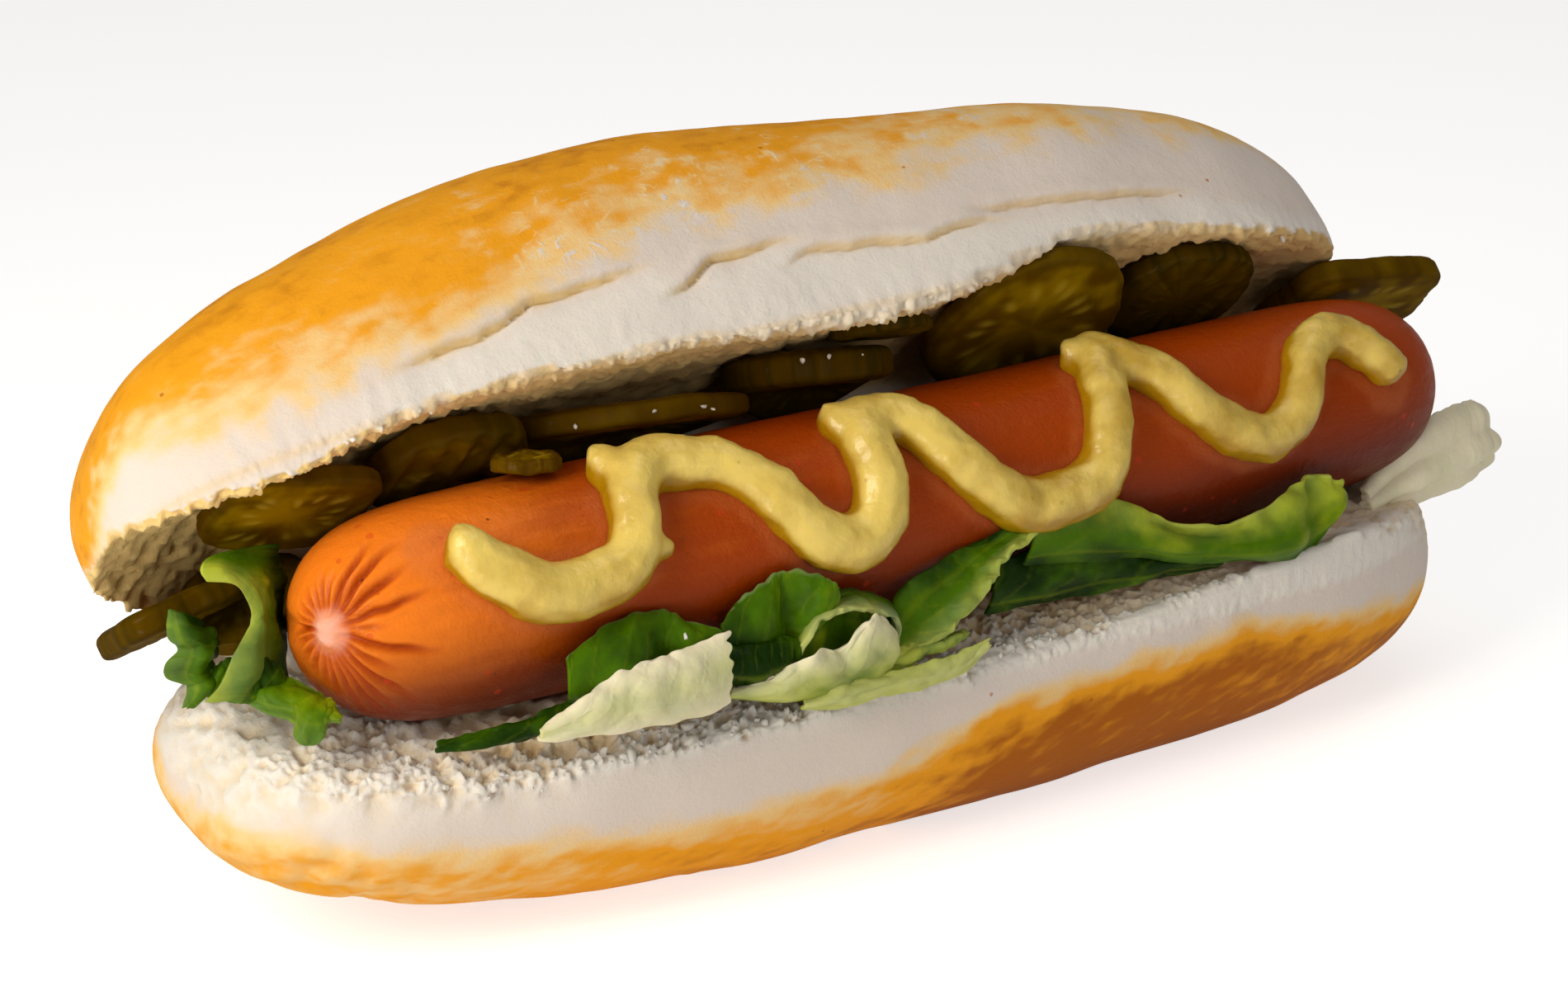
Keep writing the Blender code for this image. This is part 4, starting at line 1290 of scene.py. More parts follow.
@dataclass(frozen=True)
class PickleSlice:
    """One round slice, with a skin rim and seeds, that may sag at its back."""

    node: str
    centre: Place
    up: Place
    radius: float
    narrowing: float
    thickness: float
    sag: float
    look: PickleLook
    pressed: bool = False
    seed: int = 0
    crinkle: float = 0.0
    solid: bool = True
    squareness: float = 2.0

    @property
    def ways(self) -> tuple[np.ndarray, np.ndarray, np.ndarray]:
        """Its own side, back and up."""
        up = unit(np.array(self.up))
        side = unit(np.cross(np.array([0.0, 1.0, 0.0]), up))
        return side, np.cross(up, side), up

    def push_away(self, places: np.ndarray, lid: np.ndarray, gap: float) -> np.ndarray:
        """Moves crumb out of the slice, up under the lid and down over the base."""
        side, back, up = self.ways
        away = places - np.array(self.centre)
        across, deep = away @ side, away @ back
        high = away @ up + self.sag * (np.maximum(deep, 0) / self.radius) ** 2
        reach = (across / (self.radius + gap)) ** 2 + (deep / (self.radius * self.narrowing + gap)) ** 2
        room = self.thickness / 2 + gap
        inside = (reach < 1) & (np.abs(high) < room)
        target = np.where(lid, room, -room)
        moved = places.copy()
        moved[inside] += (target - high)[inside][:, None] * up
        return moved

    def make(self, finish: bpy.types.Material) -> Piece:
        """Models and dresses the slice."""
        piece = Piece.ball(self.node + "_slice", 128, 44)
        ball = piece.points * MM
        grain = Grain(100 + self.seed)
        around = np.arctan2(ball[:, 1], ball[:, 0])
        reach = np.sqrt(np.clip(1 - ball[:, 2] ** 2, 0, 1)) ** 0.45
        high = signed_power(ball[:, 2], 0.42) * 0.5
        turned = np.column_stack([np.cos(around), np.sin(around), np.full(len(around), self.seed * 1.7)])
        wobble = 1 + 0.03 * np.sin(3 * around + self.radius) + 0.02 * np.sin(5 * around) + 0.012 * grain.smooth(turned * 6)
        corner = (np.abs(np.cos(around)) ** self.squareness + np.abs(np.sin(around)) ** self.squareness) ** (-1 / self.squareness)
        wide = self.radius * reach * wobble * corner
        x, y = wide * np.cos(around), wide * np.sin(around) * self.narrowing
        rim = smooth_step(0.86, 0.97, reach)
        streak = grain.cloud(turned * 7, 3)
        seeds = self._seeds(reach, around)
        dish = 0.25 * smooth_step(0.9, 0.5, reach)
        z = high * (self.thickness - 2 * dish) + np.sign(high) * 0.14 * seeds
        z += self.crinkle * np.sin(math.tau * x / 3.4) * smooth_step(1.02, 0.9, reach)
        z += 0.25 * grain.smooth(np.column_stack([x, y, y * 0]) / (self.radius * 0.5))
        z -= self.sag * (np.maximum(y, 0) / self.radius) ** 2
        side, back, up = self.ways
        out = 0.16 * rim * streak
        places = np.array(self.centre) + (x + out * np.cos(around))[:, None] * side
        places += (y + out * np.sin(around))[:, None] * back + z[:, None] * up
        piece.points = places
        piece.mend()
        shade = smooth_step(-0.3, 0.5, streak)
        skin = rim * smooth_step(0.30, 0.46, np.abs(high)) + 0.6 * rim * shade
        blotch = smooth_step(-0.5, 0.7, grain.cloud(np.column_stack([x, y, high * 3]) / (0.45 * self.radius), 3))
        glow = np.clip((0.75 - 0.45 * rim) * blotch + 0.25 * smooth_step(0.75, 0.3, reach), 0, 1)
        piece.paint("glow", glow * (1 - self.look.value))
        piece.paint("seeds", np.clip(seeds * (1 - rim), 0, 1) * 0.45 * (1 - self.look.value))
        piece.paint("dark", np.clip(self.look.value * (0.5 + 0.4 * shade) + 0.4 * skin, 0, 0.92))
        return piece.finish(finish, "pickle_flesh", *([self.node] if self.solid else []))

    def _seeds(self, reach: np.ndarray, around: np.ndarray) -> np.ndarray:
        """Seeds in three wedges, as humps from 0 to 1."""
        seeds = np.zeros(len(reach))
        source = np.random.default_rng(500 + self.seed)
        for number in range(15):
            angle = number * math.tau / 15 + source.normal(0, 0.08)
            middle = 0.56 + source.normal(0, 0.06)
            turn = (around - angle + math.pi) % math.tau - math.pi
            far = ((reach - middle) / 0.10) ** 2 + (turn * middle / 0.055) ** 2
            seeds = np.maximum(seeds, np.exp(-(far**1.5)))
        return seeds


PICKLES = (
    PickleSlice("pickle_left_end", (-87.5, 4.5, 38.6), (-0.18, 0.50, 0.85), 8.6, 1.0, 3.6, 0.0, PickleLook.STREAKED, False, 1, 0.0, True, 3.2),
    PickleSlice("pickle_left_inner", (-71.5, 8.0, 36.0), (0.0, 0.35, 0.94), 7.0, 0.9, 3.0, 0.0, PickleLook.FRESH, True, 2),
    PickleSlice("pickle_left_upright", (-77.0, -3.0, 51.2), (0.12, 0.72, 0.68), 9.6, 0.80, 3.2, 0.0, PickleLook.FRESH, True, 3, 0.0, True, 3.6),
    PickleSlice("pickle_ridged", (-57.5, -3.0, 52.3), (0.05, 0.72, 0.69), 9.5, 1.0, 4.2, 0.0, PickleLook.STREAKED, False, 4, 0.3),
    PickleSlice("pickle_chip", (-52.0, -11.8, 54.0), (0.10, 0.10, 0.98), 4.2, 0.7, 2.0, 0.0, PickleLook.FRESH, False, 5),
    PickleSlice("pickle_flat_left", (-33.0, -2.5, 53.0), (0.08, 0.36, 0.93), 15.5, 0.58, 3.4, 10.0, PickleLook.FRESH, True, 6),
    PickleSlice("pickle_flat_right", (-8.0, -2.8, 54.2), (0.10, 0.34, 0.93), 11.0, 0.7, 4.6, 9.0, PickleLook.STREAKED, True, 7),
    PickleSlice("pickle_behind", (-1.0, -8.0, 59.4), (0.10, 0.40, 0.91), 6.5, 0.8, 2.0, 0.0, PickleLook.DARK, True, 8),
    PickleSlice("pickle_tall", (22.2, -5.5, 55.8), (0.10, 0.79, 0.61), 13.2, 1.0, 3.2, 0.0, PickleLook.FRESH, True, 9),
    PickleSlice("pickle_dark", (46.6, -4.4, 54.8), (0.15, 0.74, 0.65), 10.0, 1.0, 3.6, 0.0, PickleLook.DARK, True, 10, 0.25),
    PickleSlice("pickle_left_hidden", (-79.5, 3.6, 38.6), (-0.30, -0.25, 0.92), 8.0, 0.9, 2.6, 0.0, PickleLook.STREAKED, False, 12, 0.0, False),
    PickleSlice("pickle_right_end", (79.0, -1.6, 47.8), (0.08, 0.70, 0.70), 13.0, 0.62, 4.2, 0.0, PickleLook.FRESH, True, 11, 0.0, True, 4.0),
)


# ---------------------------------------------------------------- lettuce


Rib = tuple[Place, ...]


@dataclass(frozen=True)
class Leaf:
    """A torn piece of leaf, as ribs across it from its foot to its edge.

    The tones run from deep (0) to bright (1) green, at the foot's start and end, then at the edge's start and
    end, partly the leaf's own green and partly painted light and shade. The paleness turns the foot, the middle and
    the edge to cream.
    """

    name: str
    ribs: tuple[Rib, ...]
    tones: tuple[float, float, float, float]
    paleness: tuple[float, float, float] = (0.0, 0.0, 0.0)
    frill: float = 0.35
    seed: int = 0
    thickness: float = 0.6
    solid: bool = True
    torn_end: float = 0.5
    grooves: float = 0.0

    def make(self, finish: bpy.types.Material) -> Piece:
        """Models and dresses the leaf."""
        along, across = 64, 24
        piece = Piece.sheet(self.name + "_leaf", along, across)
        flat = piece.points * MM
        u, v = flat[:, 0] + 0.5, flat[:, 1] + 0.5
        rows = np.array([curve_through(rib, across + 1) for rib in self.ribs])
        patch = np.stack([curve_through(rows[:, number], along + 1) for number in range(across + 1)], axis=1)
        step = np.clip(np.rint(u * along).astype(int), 0, along)
        place = np.clip(np.rint(v * across).astype(int), 0, across)
        grain = Grain(200 + self.seed)
        run = np.gradient(patch, axis=0)
        out = unit(np.cross(run, np.gradient(patch, axis=1)))[step, place]
        spot = np.column_stack([u * 5, v * 2.2, np.full(len(u), self.seed * 3.1)])
        crinkle = grain.cloud(spot, 3)
        rim = smooth_step(0.6, 1.0, v)
        frill = self.frill * rim * grain.cloud(np.column_stack([u * 11, v * 2, v * 0 + self.seed]), 2)
        bumps = 0.5 * crinkle * smooth_step(0, 0.2, u) * smooth_step(1, 0.8, u) + frill
        bumps -= self.grooves * np.cos(math.tau * 3 * v)
        places = patch[step, place] + out * bumps[:, None]
        notch = self.torn_end * smooth_step(0.94, 1.0, u) * grain.cloud(np.column_stack([v * 8, u, u * 0 + self.seed]), 2)
        places += notch[:, None] * unit(run)[step, place]
        ragged = 0.45 * smooth_step(0.9, 1.0, v) * grain.cloud(np.column_stack([u * 16, v * 0 + self.seed, v]), 2)
        places += ragged[:, None] * unit(np.gradient(patch, axis=1))[step, place]
        piece.points = places
        light_fold = smooth_step(0.3, 1.0, np.abs(crinkle))
        branch = np.abs(((u * 6 - np.abs(v - 0.3) * 1.6 + 0.3 * grain.smooth(spot * 1.3)) % 1.0) - 0.5)
        veins = 0.7 * smooth_step(0.07, 0.01, branch) + smooth_step(0.05, 0.015, np.abs(v - 0.3 + 0.03 * np.sin(u * 7)))
        foot = self.tones[0] * (1 - u) + self.tones[1] * u
        edge = self.tones[2] * (1 - u) + self.tones[3] * u
        # painted light: brighter on raised crinkles, with painted highlights along the folds
        light = foot * (1 - v) + edge * v + 0.16 * crinkle + 0.12 * light_fold
        pale = np.interp(v, (0, 0.5, 1), self.paleness) + 0.12 * crinkle * max(self.paleness)
        pale = np.maximum(pale, 0.12 * smooth_step(0.93, 1.0, v) * (light > 0.3))
        piece.paint("light", light)
        piece.paint("rib", np.clip(pale, 0, 1))
        piece.paint("veins", np.clip(veins, 0, 1))
        piece.modify("SOLIDIFY", thickness=self.thickness * MM, offset=0.0)
        piece.modify("SUBSURF", levels=1, render_levels=1)
        return piece.finish(finish, "lettuce_leaf", *([self.name] if self.solid else []))


LEAVES = (
    Leaf("lettuce_left_curl", (
        ((-89.8, -9, 47.3), (-90.3, -8.6, 48.6), (-89, -7.8, 49.5), (-85, -6.5, 49.2), (-79, -4.5, 48)),
        ((-86.8, -9.2, 46.5), (-86.6, -9, 47.4), (-84.8, -7.8, 47.6), (-82, -6, 47), (-78.5, -3.5, 46)),
        ((-84.9, -8.6, 43.6), (-84, -8.8, 44.2), (-82.6, -7.8, 44.3), (-81, -6, 44), (-78, -3, 43)),
        ((-84.6, -8, 40.8), (-83.6, -8.8, 41.1), (-81.8, -7.6, 41), (-80.5, -6, 40.5), (-78, -3, 39.5)),
        ((-87.6, -9.6, 38.4), (-85.0, -9.9, 38.4), (-81.8, -7.8, 38), (-80.5, -6, 37.5), (-78, -3, 36.5)),
        ((-89.6, -10.2, 35.8), (-86.6, -10.8, 35.6), (-82.8, -8.8, 35), (-81, -7, 34), (-79, -4.5, 33)),
        ((-91.6, -10.4, 34.4), (-88.4, -11.2, 33.9), (-85, -10.6, 33.2), (-82, -9, 32.2), (-79.4, -6.5, 31)),
    ), (0.9, 0.6, 0.1, 0.0), (0.1, 0.0, 0.0), 0.35, 1),
    Leaf("lettuce_left_frill", (
        ((-93.4, -7, 44.4), (-92.6, -8, 44.1), (-91, -7, 43)),
        ((-93.7, -7, 41.6), (-91.8, -9.4, 41.9), (-88.6, -6.4, 40.8)),
        ((-92.6, -7, 39.4), (-90.8, -9.6, 39.8), (-87.4, -6, 38.8)),
        ((-94.2, -6.6, 37.2), (-91.8, -9.4, 37.4), (-88.4, -6.2, 37)),
        ((-92.4, -8, 35.7), (-90.8, -9.8, 35.9), (-88.4, -7.2, 35.6)),
        ((-93.2, -8.4, 33.4), (-92.2, -9, 33.6), (-90.6, -8.2, 34.4)),
    ), (0.45, 0.35, 0.02, 0.15), (0.05, 0.0, 0.0), 0.5, 2),
    Leaf("lettuce_left_back", (
        ((-91, -8, 34.4), (-90.4, -8.6, 35.4), (-89.6, -8, 36.8)),
        ((-88.6, -9.6, 33.6), (-88.2, -9.9, 35.2), (-87.2, -8.6, 38)),
        ((-86, -10.8, 33), (-85.8, -10.8, 34.6), (-84.8, -9.6, 38)),
        ((-82.6, -11.2, 32.8), (-82.4, -11, 34.2), (-81.8, -9.8, 36)),
    ), (0.5, 0.35, 0.2, 0.1), (0.0, 0.0, 0.0), 0.3, 13, 0.5, False),
    Leaf("lettuce_left_low", (
        ((-86.8, -9.2, 34.0), (-87.2, -8.6, 34.5), (-87.3, -8, 34.6)),
        ((-86.4, -11.0, 33.0), (-85.6, -10.2, 34.5), (-83.4, -8.6, 35.0)),
        ((-85.4, -13.2, 32.4), (-84.6, -12.2, 34.2), (-81.6, -9.4, 34.8)),
        ((-83.6, -15.6, 31.8), (-82.8, -14.6, 33.8), (-80.0, -12.2, 34.2)),
        ((-84.4, -17.8, 30.6), (-82.6, -17.2, 33.6), (-79.4, -14.6, 33.4)),
        ((-82.5, -18.6, 30.2), (-81.4, -18.0, 33.2), (-79.2, -15.7, 33.0)),
        ((-81.0, -18.0, 32.2), (-80.4, -17.8, 32.8), (-79.4, -16.8, 32.8)),
        ((-79.8, -18.6, 32.2), (-79.6, -18.4, 32.4), (-79.3, -18.0, 32.4)),
    ), (0.55, 0.5, 0.75, 0.45), (0.05, 0.0, 0.0), 0.3, 3),
    Leaf("lettuce_dark", (
        ((-56, -26, 31.5), (-57, -28, 33), (-57, -28, 35.5), (-56.5, -27, 37)),
        ((-52, -25, 30), (-53, -28.8, 33), (-53.2, -28.3, 37), (-52, -26, 38.5)),
        ((-47, -25, 30), (-48.5, -29.3, 33), (-48.5, -28.5, 38.2), (-47, -25.5, 39.5)),
        ((-43.5, -25, 30), (-44, -26.8, 33.5), (-44.3, -26.8, 37.4), (-43, -25, 38.6)),
        ((-40.5, -25.5, 30), (-41.5, -28.4, 33), (-41.5, -28, 36.2), (-40.5, -26, 37.3)),
        ((-36.5, -26, 30), (-37, -27.5, 32), (-37, -27.5, 34.5), (-36.5, -27, 35.5)),
    ), (0.08, 0.15, 0.36, 0.5), (0.0, 0.0, 0.0), 0.3, 4),
    Leaf("lettuce_strip", (
        ((-70, -21.5, 27.4), (-70, -22, 27.8), (-69.8, -21.5, 28.4)),
        ((-64, -23.6, 27.4), (-64, -24.6, 28.2), (-63.5, -23.6, 29.2)),
        ((-58, -25, 28), (-58, -26, 29.2), (-57.5, -25, 30.4)),
        ((-53, -25.6, 29), (-53, -26.6, 30.4), (-52.5, -25.6, 32)),
        ((-49, -26, 30), (-49, -26.6, 31), (-48.6, -26, 32.5)),
    ), (0.0, 0.0, 0.08, 0.04), (0.0, 0.0, 0.0), 0.2, 5),
    Leaf("lettuce_rib_shard", (
        ((-61.8, -29.4, 29.6), (-61.6, -29.5, 29.9), (-61.4, -29.4, 30.2), (-61, -29, 30.4)),
        ((-58, -30.3, 29.2), (-57.8, -30.6, 30.2), (-57.3, -30.2, 31.5), (-57, -29.6, 32.5)),
        ((-54, -30.5, 29.1), (-53.8, -31.2, 30.6), (-53.4, -30.6, 32.8), (-53.2, -29.4, 34.3)),
        ((-50, -30.6, 28.7), (-49.8, -31.6, 30.8), (-49.5, -30.8, 33.6), (-49.3, -29.2, 35.0)),
        ((-46, -30.5, 28.2), (-45.8, -31.7, 30.6), (-45.6, -30.8, 33.8), (-45.4, -29.2, 35.3)),
        ((-41.5, -30.3, 27.7), (-41.4, -31.3, 30.6), (-41.4, -30.4, 34), (-41.4, -29, 35.7)),
        ((-37.6, -30, 28.4), (-37.8, -30.6, 31), (-37.4, -30, 34.3), (-36.9, -28.8, 36.3)),
    ), (0.9, 0.8, 1.0, 1.0), (0.85, 0.55, 1.0), 0.5, 6, 0.9, True, 1.3),
    Leaf("lettuce_lobe", (
        ((-35, -26, 31.5), (-36, -27, 33.5), (-36.5, -27, 35.2), (-36.3, -26.5, 36)),
        ((-32.5, -25.5, 30), (-33.5, -27.5, 33), (-33.8, -27, 36.5), (-33.3, -26, 38.3)),
        ((-29.5, -25, 29), (-30, -27.5, 33), (-30.3, -27, 37.5), (-29.8, -26, 39.6)),
        ((-27, -25, 28.5), (-27.3, -25.3, 33), (-27.6, -25.2, 37.6), (-27.2, -25.4, 40.3)),
        ((-26, -25.5, 28.5), (-25.5, -27, 33), (-25, -27.6, 37), (-24.5, -27, 39.9)),
        ((-24.5, -26.5, 31.5), (-23.6, -28, 34), (-22.8, -28.5, 36.8), (-22.3, -28, 38.7)),
        ((-23.8, -26.8, 33), (-22.6, -27.8, 34.5), (-21.6, -28.2, 36.2), (-21.3, -28, 37.4)),
    ), (0.0, 0.3, 0.25, 0.62), (0.0, 0.0, 0.0), 0.2, 7),
    Leaf("lettuce_fold", (
        ((-36.6, -27.5, 29.6), (-36.8, -29.3, 31.2), (-36.6, -28.2, 33), (-36.4, -26.4, 32.6)),
        ((-33, -27.4, 28.6), (-33.2, -29.8, 30.8), (-33, -28.6, 33.2), (-32.8, -26.4, 32.8)),
        ((-29.5, -27.2, 28.4), (-29.7, -29.6, 30.6), (-29.5, -28.4, 33.0), (-29.3, -26.4, 32.6)),
        ((-26.8, -27, 29), (-27, -28.6, 30.6), (-26.8, -27.8, 32.2), (-26.6, -26.4, 32)),
    ), (0.0, 0.0, 0.18, 0.1), (0.0, 0.0, 0.0), 0.15, 14, 0.6, False),
    Leaf("lettuce_arch", (
        ((-26, -25.5, 30.6), (-26.6, -27, 30.6), (-27.6, -28.6, 30.2)),
        ((-23.8, -25.3, 34.6), (-24.6, -27, 34.4), (-25.6, -28.9, 33.6)),
        ((-20.5, -25.2, 36), (-21.3, -27, 35.8), (-22.2, -29, 35)),
        ((-16.6, -25.2, 35.6), (-17.4, -27, 35.4), (-18, -29, 34.6)),
        ((-12.8, -25.3, 33.4), (-13.6, -27, 33.2), (-14.2, -28.8, 32.4)),
        ((-11.6, -25.3, 29.6), (-12.4, -26.8, 29.4), (-13.4, -28.4, 29)),
    ), (0.05, 0.05, 0.75, 0.7), (0.0, 0.0, 0.25), 0.2, 15, 0.7, False),
    Leaf("lettuce_middle", (
        ((-27, -25, 26), (-27, -26, 29), (-26.6, -25.6, 32)),
        ((-22, -25, 25.5), (-22, -26.2, 29), (-21.6, -25.4, 33.6)),
        ((-16, -25, 25.5), (-16, -26.2, 29), (-15.6, -25.4, 33)),
        ((-11, -25, 26), (-11, -26, 28.6), (-10.8, -25.4, 31)),
    ), (0.3, 0.4, 0.55, 0.6), (0.0, 0.0, 0.0), 0.3, 16, 0.5, False),
    Leaf("lettuce_curl", (
        ((-36.4, -28, 28.1), (-36.4, -28.4, 28.4), (-36.2, -28.5, 28.8)),
        ((-32, -29, 26.8), (-32.2, -30, 28.2), (-31.8, -29.6, 29.8)),
        ((-28.5, -29.5, 26.2), (-28.7, -30.6, 28.6), (-28.3, -30, 30.8)),
        ((-25, -29.8, 26), (-25.4, -30.8, 29), (-25.2, -30.2, 31.8)),
        ((-22, -29.8, 26), (-22.3, -30.2, 28.6), (-22.3, -29.8, 30.9)),
        ((-19.8, -29.6, 26), (-20.4, -30.8, 29.6), (-20, -30, 33)),
        ((-17.5, -29.4, 26.2), (-17.8, -30.8, 30), (-17.5, -29.4, 34)),
        ((-15.5, -29, 26.5), (-15.2, -30.2, 29.5), (-15.2, -28.8, 32.3)),
        ((-14.5, -28.5, 27), (-14, -29.3, 28.6), (-13.8, -28.2, 30)),
    ), (0.7, 0.6, 1.0, 0.95), (0.05, 0.3, 0.9), 0.8, 8, 0.75),
    Leaf("lettuce_light_strip", (
        ((-27.6, -29.5, 25.0), (-27.4, -30, 25.4), (-27.2, -29.5, 25.8)),
        ((-23, -30, 24.2), (-23, -31, 25.4), (-22.6, -30, 26.8)),
        ((-18, -30, 24.2), (-18, -30.8, 25.3), (-17.6, -29.8, 26.6)),
        ((-12.5, -30, 24), (-12.5, -31, 25.2), (-12, -29.8, 26.6)),
        ((-8, -29.8, 24), (-7.8, -30.6, 25), (-7.4, -29.6, 26.4)),
        ((-4, -29.6, 24.6), (-3.8, -30.2, 25.6), (-3.6, -29.4, 26.8)),
        ((-1.2, -29.4, 26), (-1, -29.7, 26.5), (-0.8, -29.3, 27.2)),
    ), (0.85, 0.9, 1.0, 0.95), (0.1, 0.35, 0.2), 0.45, 9, 0.5, True, 0.8),
    Leaf("lettuce_shred", (
        ((-16, -28.4, 26.2), (-16, -28.8, 26.8), (-15.8, -28.2, 27.6)),
        ((-11, -28.2, 26.4), (-11, -28.8, 27.4), (-10.7, -28, 28.6)),
        ((-6.5, -28, 26.8), (-6.5, -28.6, 27.6), (-6.2, -27.8, 28.4)),
        ((-3, -27.8, 27.4), (-3, -28.1, 27.8), (-2.8, -27.6, 28.2)),
    ), (0.5, 0.6, 0.8, 0.7), (0.0, 0.1, 0.1), 0.3, 17, 0.5, False, 0.7),
    Leaf("lettuce_long_curl", (
        ((-14, -26, 30), (-13, -27.5, 28.6), (-12, -28, 27.6)),
        ((-12, -25.5, 33), (-9.5, -27, 29.8), (-7, -28.6, 28.5)),
        ((-9, -25, 35), (-5.8, -26.8, 31.8), (-3.3, -28.6, 30.9)),
        ((-5.5, -24.9, 36), (-2.2, -26.6, 33.8), (0, -28.6, 33.5)),
        ((-2.5, -24.9, 37), (0, -26.5, 35.4), (1.6, -28.4, 35.6)),
        ((1.5, -24.9, 37.6), (3.3, -26.4, 36.8), (5, -28, 37.4)),
        ((5.5, -24.9, 38.6), (7, -26.1, 38.2), (9, -27.2, 38.8)),
    ), (0.25, 0.1, 0.85, 0.75), (0.0, 0.0, 0.14), 1.2, 10, 0.8),
    # a leaf kept deep green as painted shade beneath the others
    Leaf("lettuce_under_right", (
        ((2, -24.6, 28), (2.2, -26, 31), (2.6, -25, 34)),
        ((10, -24.8, 27.6), (10.2, -26.2, 31), (10.4, -25, 35)),
        ((19, -25, 27.4), (19.2, -26.4, 30), (19.4, -25.4, 33.6)),
        ((29, -25.4, 27.2), (29.2, -26.6, 29), (29.4, -25.8, 31)),
        ((37, -26, 27), (37.2, -26.6, 27.8), (37.4, -26.2, 28.8)),
    ), (0.0, 0.0, 0.15, 0.1), (0.0, 0.0, 0.0), 0.3, 18, 0.5, False),
    Leaf("lettuce_right", (
        ((6, -26.5, 34), (6.5, -27.5, 36.5), (8, -26.5, 40.5)),
        ((12, -26.3, 33), (12.5, -28, 36.5), (13, -26, 40.8)),
        ((18, -26.5, 32), (18.5, -27.8, 35), (18.5, -26, 39.5)),
        ((24, -27, 31), (24.5, -28.2, 33.5), (24.3, -26.3, 37)),
        ((30, -27.5, 29.6), (30.3, -28.6, 31.5), (30.3, -27, 34)),
        ((36, -27.8, 28.4), (36.3, -29, 30.5), (36.3, -27.4, 33)),
        ((42, -28, 27.2), (42.3, -29.6, 30), (42, -27.3, 33.5)),
        ((47, -27.8, 26.3), (47.3, -29.4, 30.2), (47, -26.8, 34.8)),
        ((51.3, -26.6, 26), (51.3, -26.6, 30), (50.8, -26, 35.8)),
        ((54, -26.4, 28.5), (55, -28, 31.5), (54, -26.4, 35.4)),
        ((56, -25.6, 30), (57, -26.4, 32), (56.2, -25.8, 33.6)),
    ), (0.0, 0.45, 0.75, 1.0), (0.0, 0.0, 0.08), 2.4, 11, 0.6),
    Leaf("lettuce_rib_right", (
        ((66, -19, 25.5), (66.3, -20.5, 27), (66.5, -19.5, 28.6)),
        ((71, -18.5, 24.8), (71.5, -20.6, 28.4), (71.5, -18.5, 32.5)),
        ((76, -18.2, 24.9), (76.8, -20.6, 29.4), (76.5, -18, 35.0)),
        ((82, -17.8, 25.3), (82.6, -20.2, 30), (82, -17.6, 36.2)),
        ((87, -17.4, 26.0), (87.4, -19.6, 30.4), (86.4, -17.2, 36.2)),
        ((90.3, -17, 27.6), (90.2, -18.6, 30.6), (88, -17, 35.6)),
    ), (0.8, 0.7, 0.8, 0.7), (1.0, 0.95, 1.0), 0.08, 12, 1.6, True, 0.1, 0.5),
)


# ---------------------------------------------------------------- studio


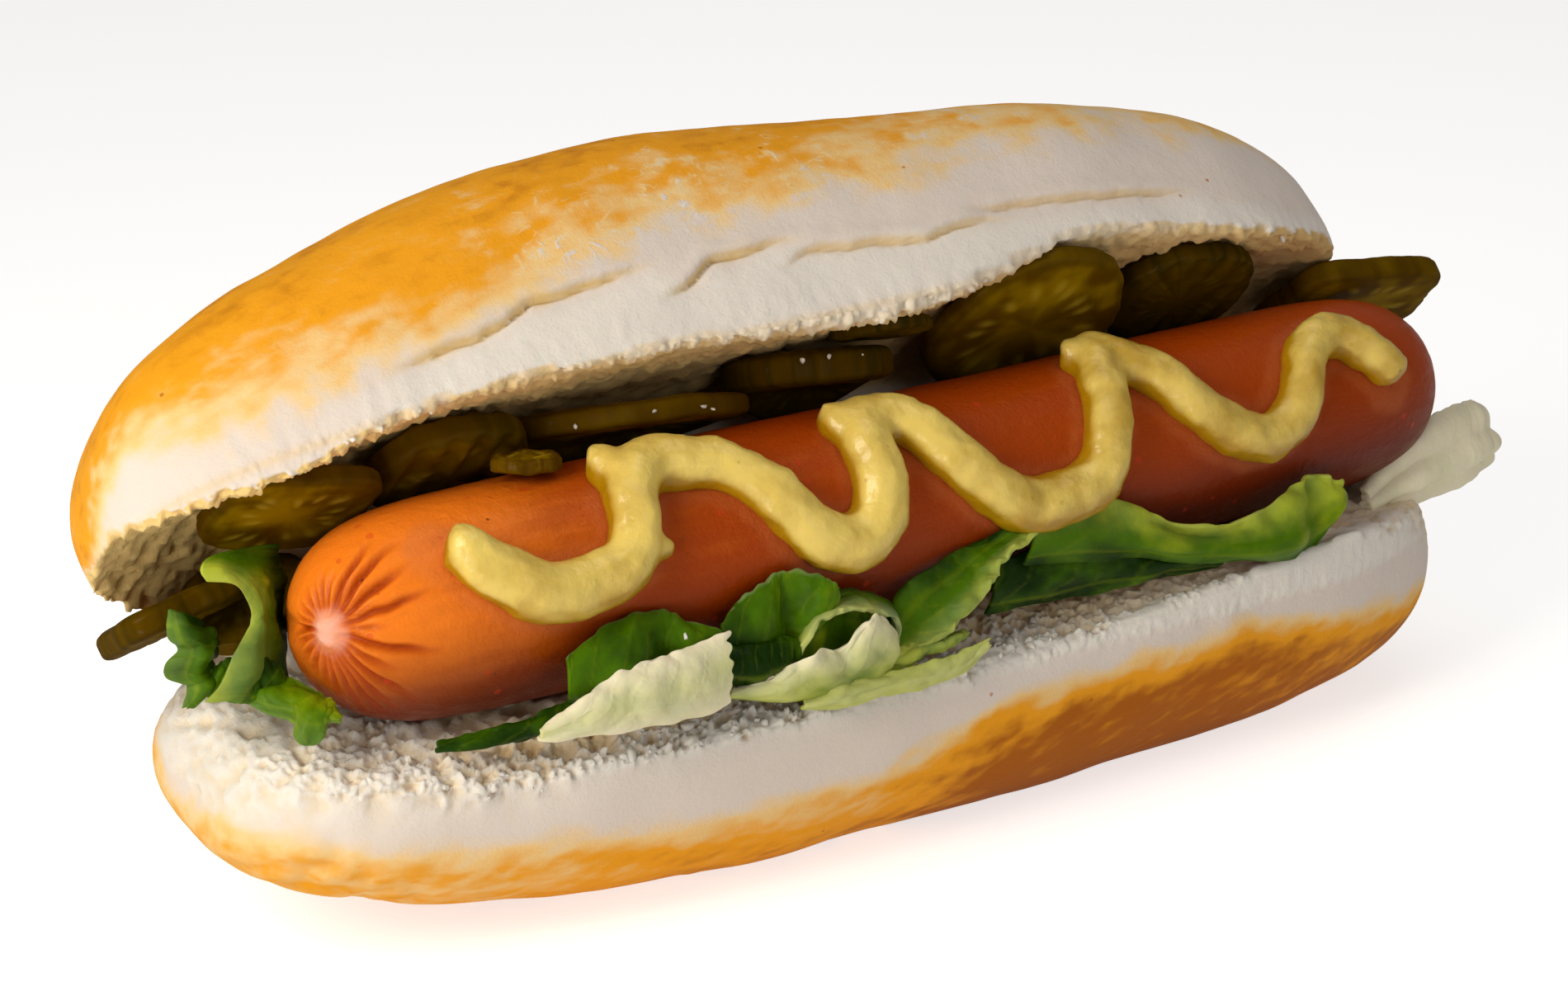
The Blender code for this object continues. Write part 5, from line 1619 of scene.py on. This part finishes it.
@dataclass
class Studio:
    """Floor, lights and camera."""

    eye: Place = (-248.7, -349.2, 191.6)
    turn: float = 34.4
    down: float = 20.0
    lens: float = 86.2

    def make(self) -> None:
        """Sets the whole studio up."""
        self._floor()
        self._camera()
        self._area("key", (-330, -90, 240), (-50, 0, 45), 170, 0.84, (1.0, 0.94, 0.83))
        self._area("near_end", (-400, -230, 0), (-85, -5, 50), 160, 0.6, (1.0, 0.95, 0.86))
        self._area("overhead", (60, 0, 480), (20, 0, 60), 300, 0.35, (1.0, 0.96, 0.90))
        self._area("front_fill", (80, -800, 300), (10, -10, 35), 500, 0.72, (1.0, 0.96, 0.92))
        world = bpy.data.worlds.new("studio")
        world.use_nodes = True
        world.node_tree.nodes["Background"].inputs[0].default_value = (1.0, 0.97, 0.95, 1.0)
        world.node_tree.nodes["Background"].inputs[1].default_value = 0.20
        bpy.context.scene.world = world
        bpy.context.scene.view_settings.view_transform = "Standard"

    def _floor(self) -> None:
        """A wide pale floor."""
        deselect_all()
        bpy.ops.mesh.primitive_plane_add(size=30)
        floor = bpy.context.active_object
        floor.name = "floor"
        graph, material = new_finish("pale floor")
        shader = surface(graph, (0.80, 0.80, 0.80), 0.9, Emission_Color=(1.0, 1.0, 1.0, 1.0))
        seen = graph.add("LightPath").outputs["Is Camera Ray"]
        graph.tree.links.new(graph.fit(seen, 0.0, 1.0, 0.15, 0.66), shader.inputs["Emission Strength"])
        floor.data.materials.append(material)

    def _camera(self) -> None:
        """The camera, a little over the roll's near end."""
        turn, down = math.radians(self.turn), math.radians(self.down)
        right = Vector((math.cos(turn), -math.sin(turn), 0))
        ahead = Vector((math.sin(turn) * math.cos(down), math.cos(turn) * math.cos(down), -math.sin(down)))
        lens = bpy.data.cameras.new("camera")
        lens.sensor_width = 36
        lens.lens = self.lens
        lens.clip_start = 0.01
        camera = bpy.data.objects.new("camera", lens)
        place = Matrix((right, right.cross(ahead), -ahead)).transposed().to_4x4()
        place.translation = Vector(self.eye) * MM
        camera.matrix_world = place
        bpy.context.scene.collection.objects.link(camera)
        bpy.context.scene.camera = camera

    @staticmethod
    def _area(name: str, place: Place, target: Place, size: float, power: float, colour: Colour) -> None:
        """A square soft box."""
        light = bpy.data.lights.new(name, "AREA")
        light.energy = power
        light.color = colour
        light.size = size * MM
        obj = bpy.data.objects.new(name, light)
        obj.location = Vector(place) * MM
        obj.rotation_euler = (Vector(place) - Vector(target)).to_track_quat("Z", "Y").to_euler()
        bpy.context.scene.collection.objects.link(obj)


# ---------------------------------------------------------------- main


def main() -> None:
    """Builds and dresses the hot dog piece by piece."""
    logging.basicConfig(level=logging.INFO, format="%(name)s %(message)s")
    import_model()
    effects = Effects()
    sausage = Sausage(SausageFinish().make(effects))
    mustard = Mustard(MustardFinish().make(effects), sausage)
    pressed = tuple(piece for piece in PICKLES if piece.pressed)
    bread = BreadFinish().make(effects)
    roll = Roll(bread, sausage, pressed)
    roll.make()
    Crumbs(bread).make(*roll.crumbled)
    sausage.make(mustard.line())
    mustard.make()
    wet = PickleFinish().make(effects)
    for piece in PICKLES:
        piece.make(wet)
    green = LeafFinish().make(effects)
    for leaf in LEAVES:
        leaf.make(green)
    Studio().make()


if __name__ == "__main__":
    main()
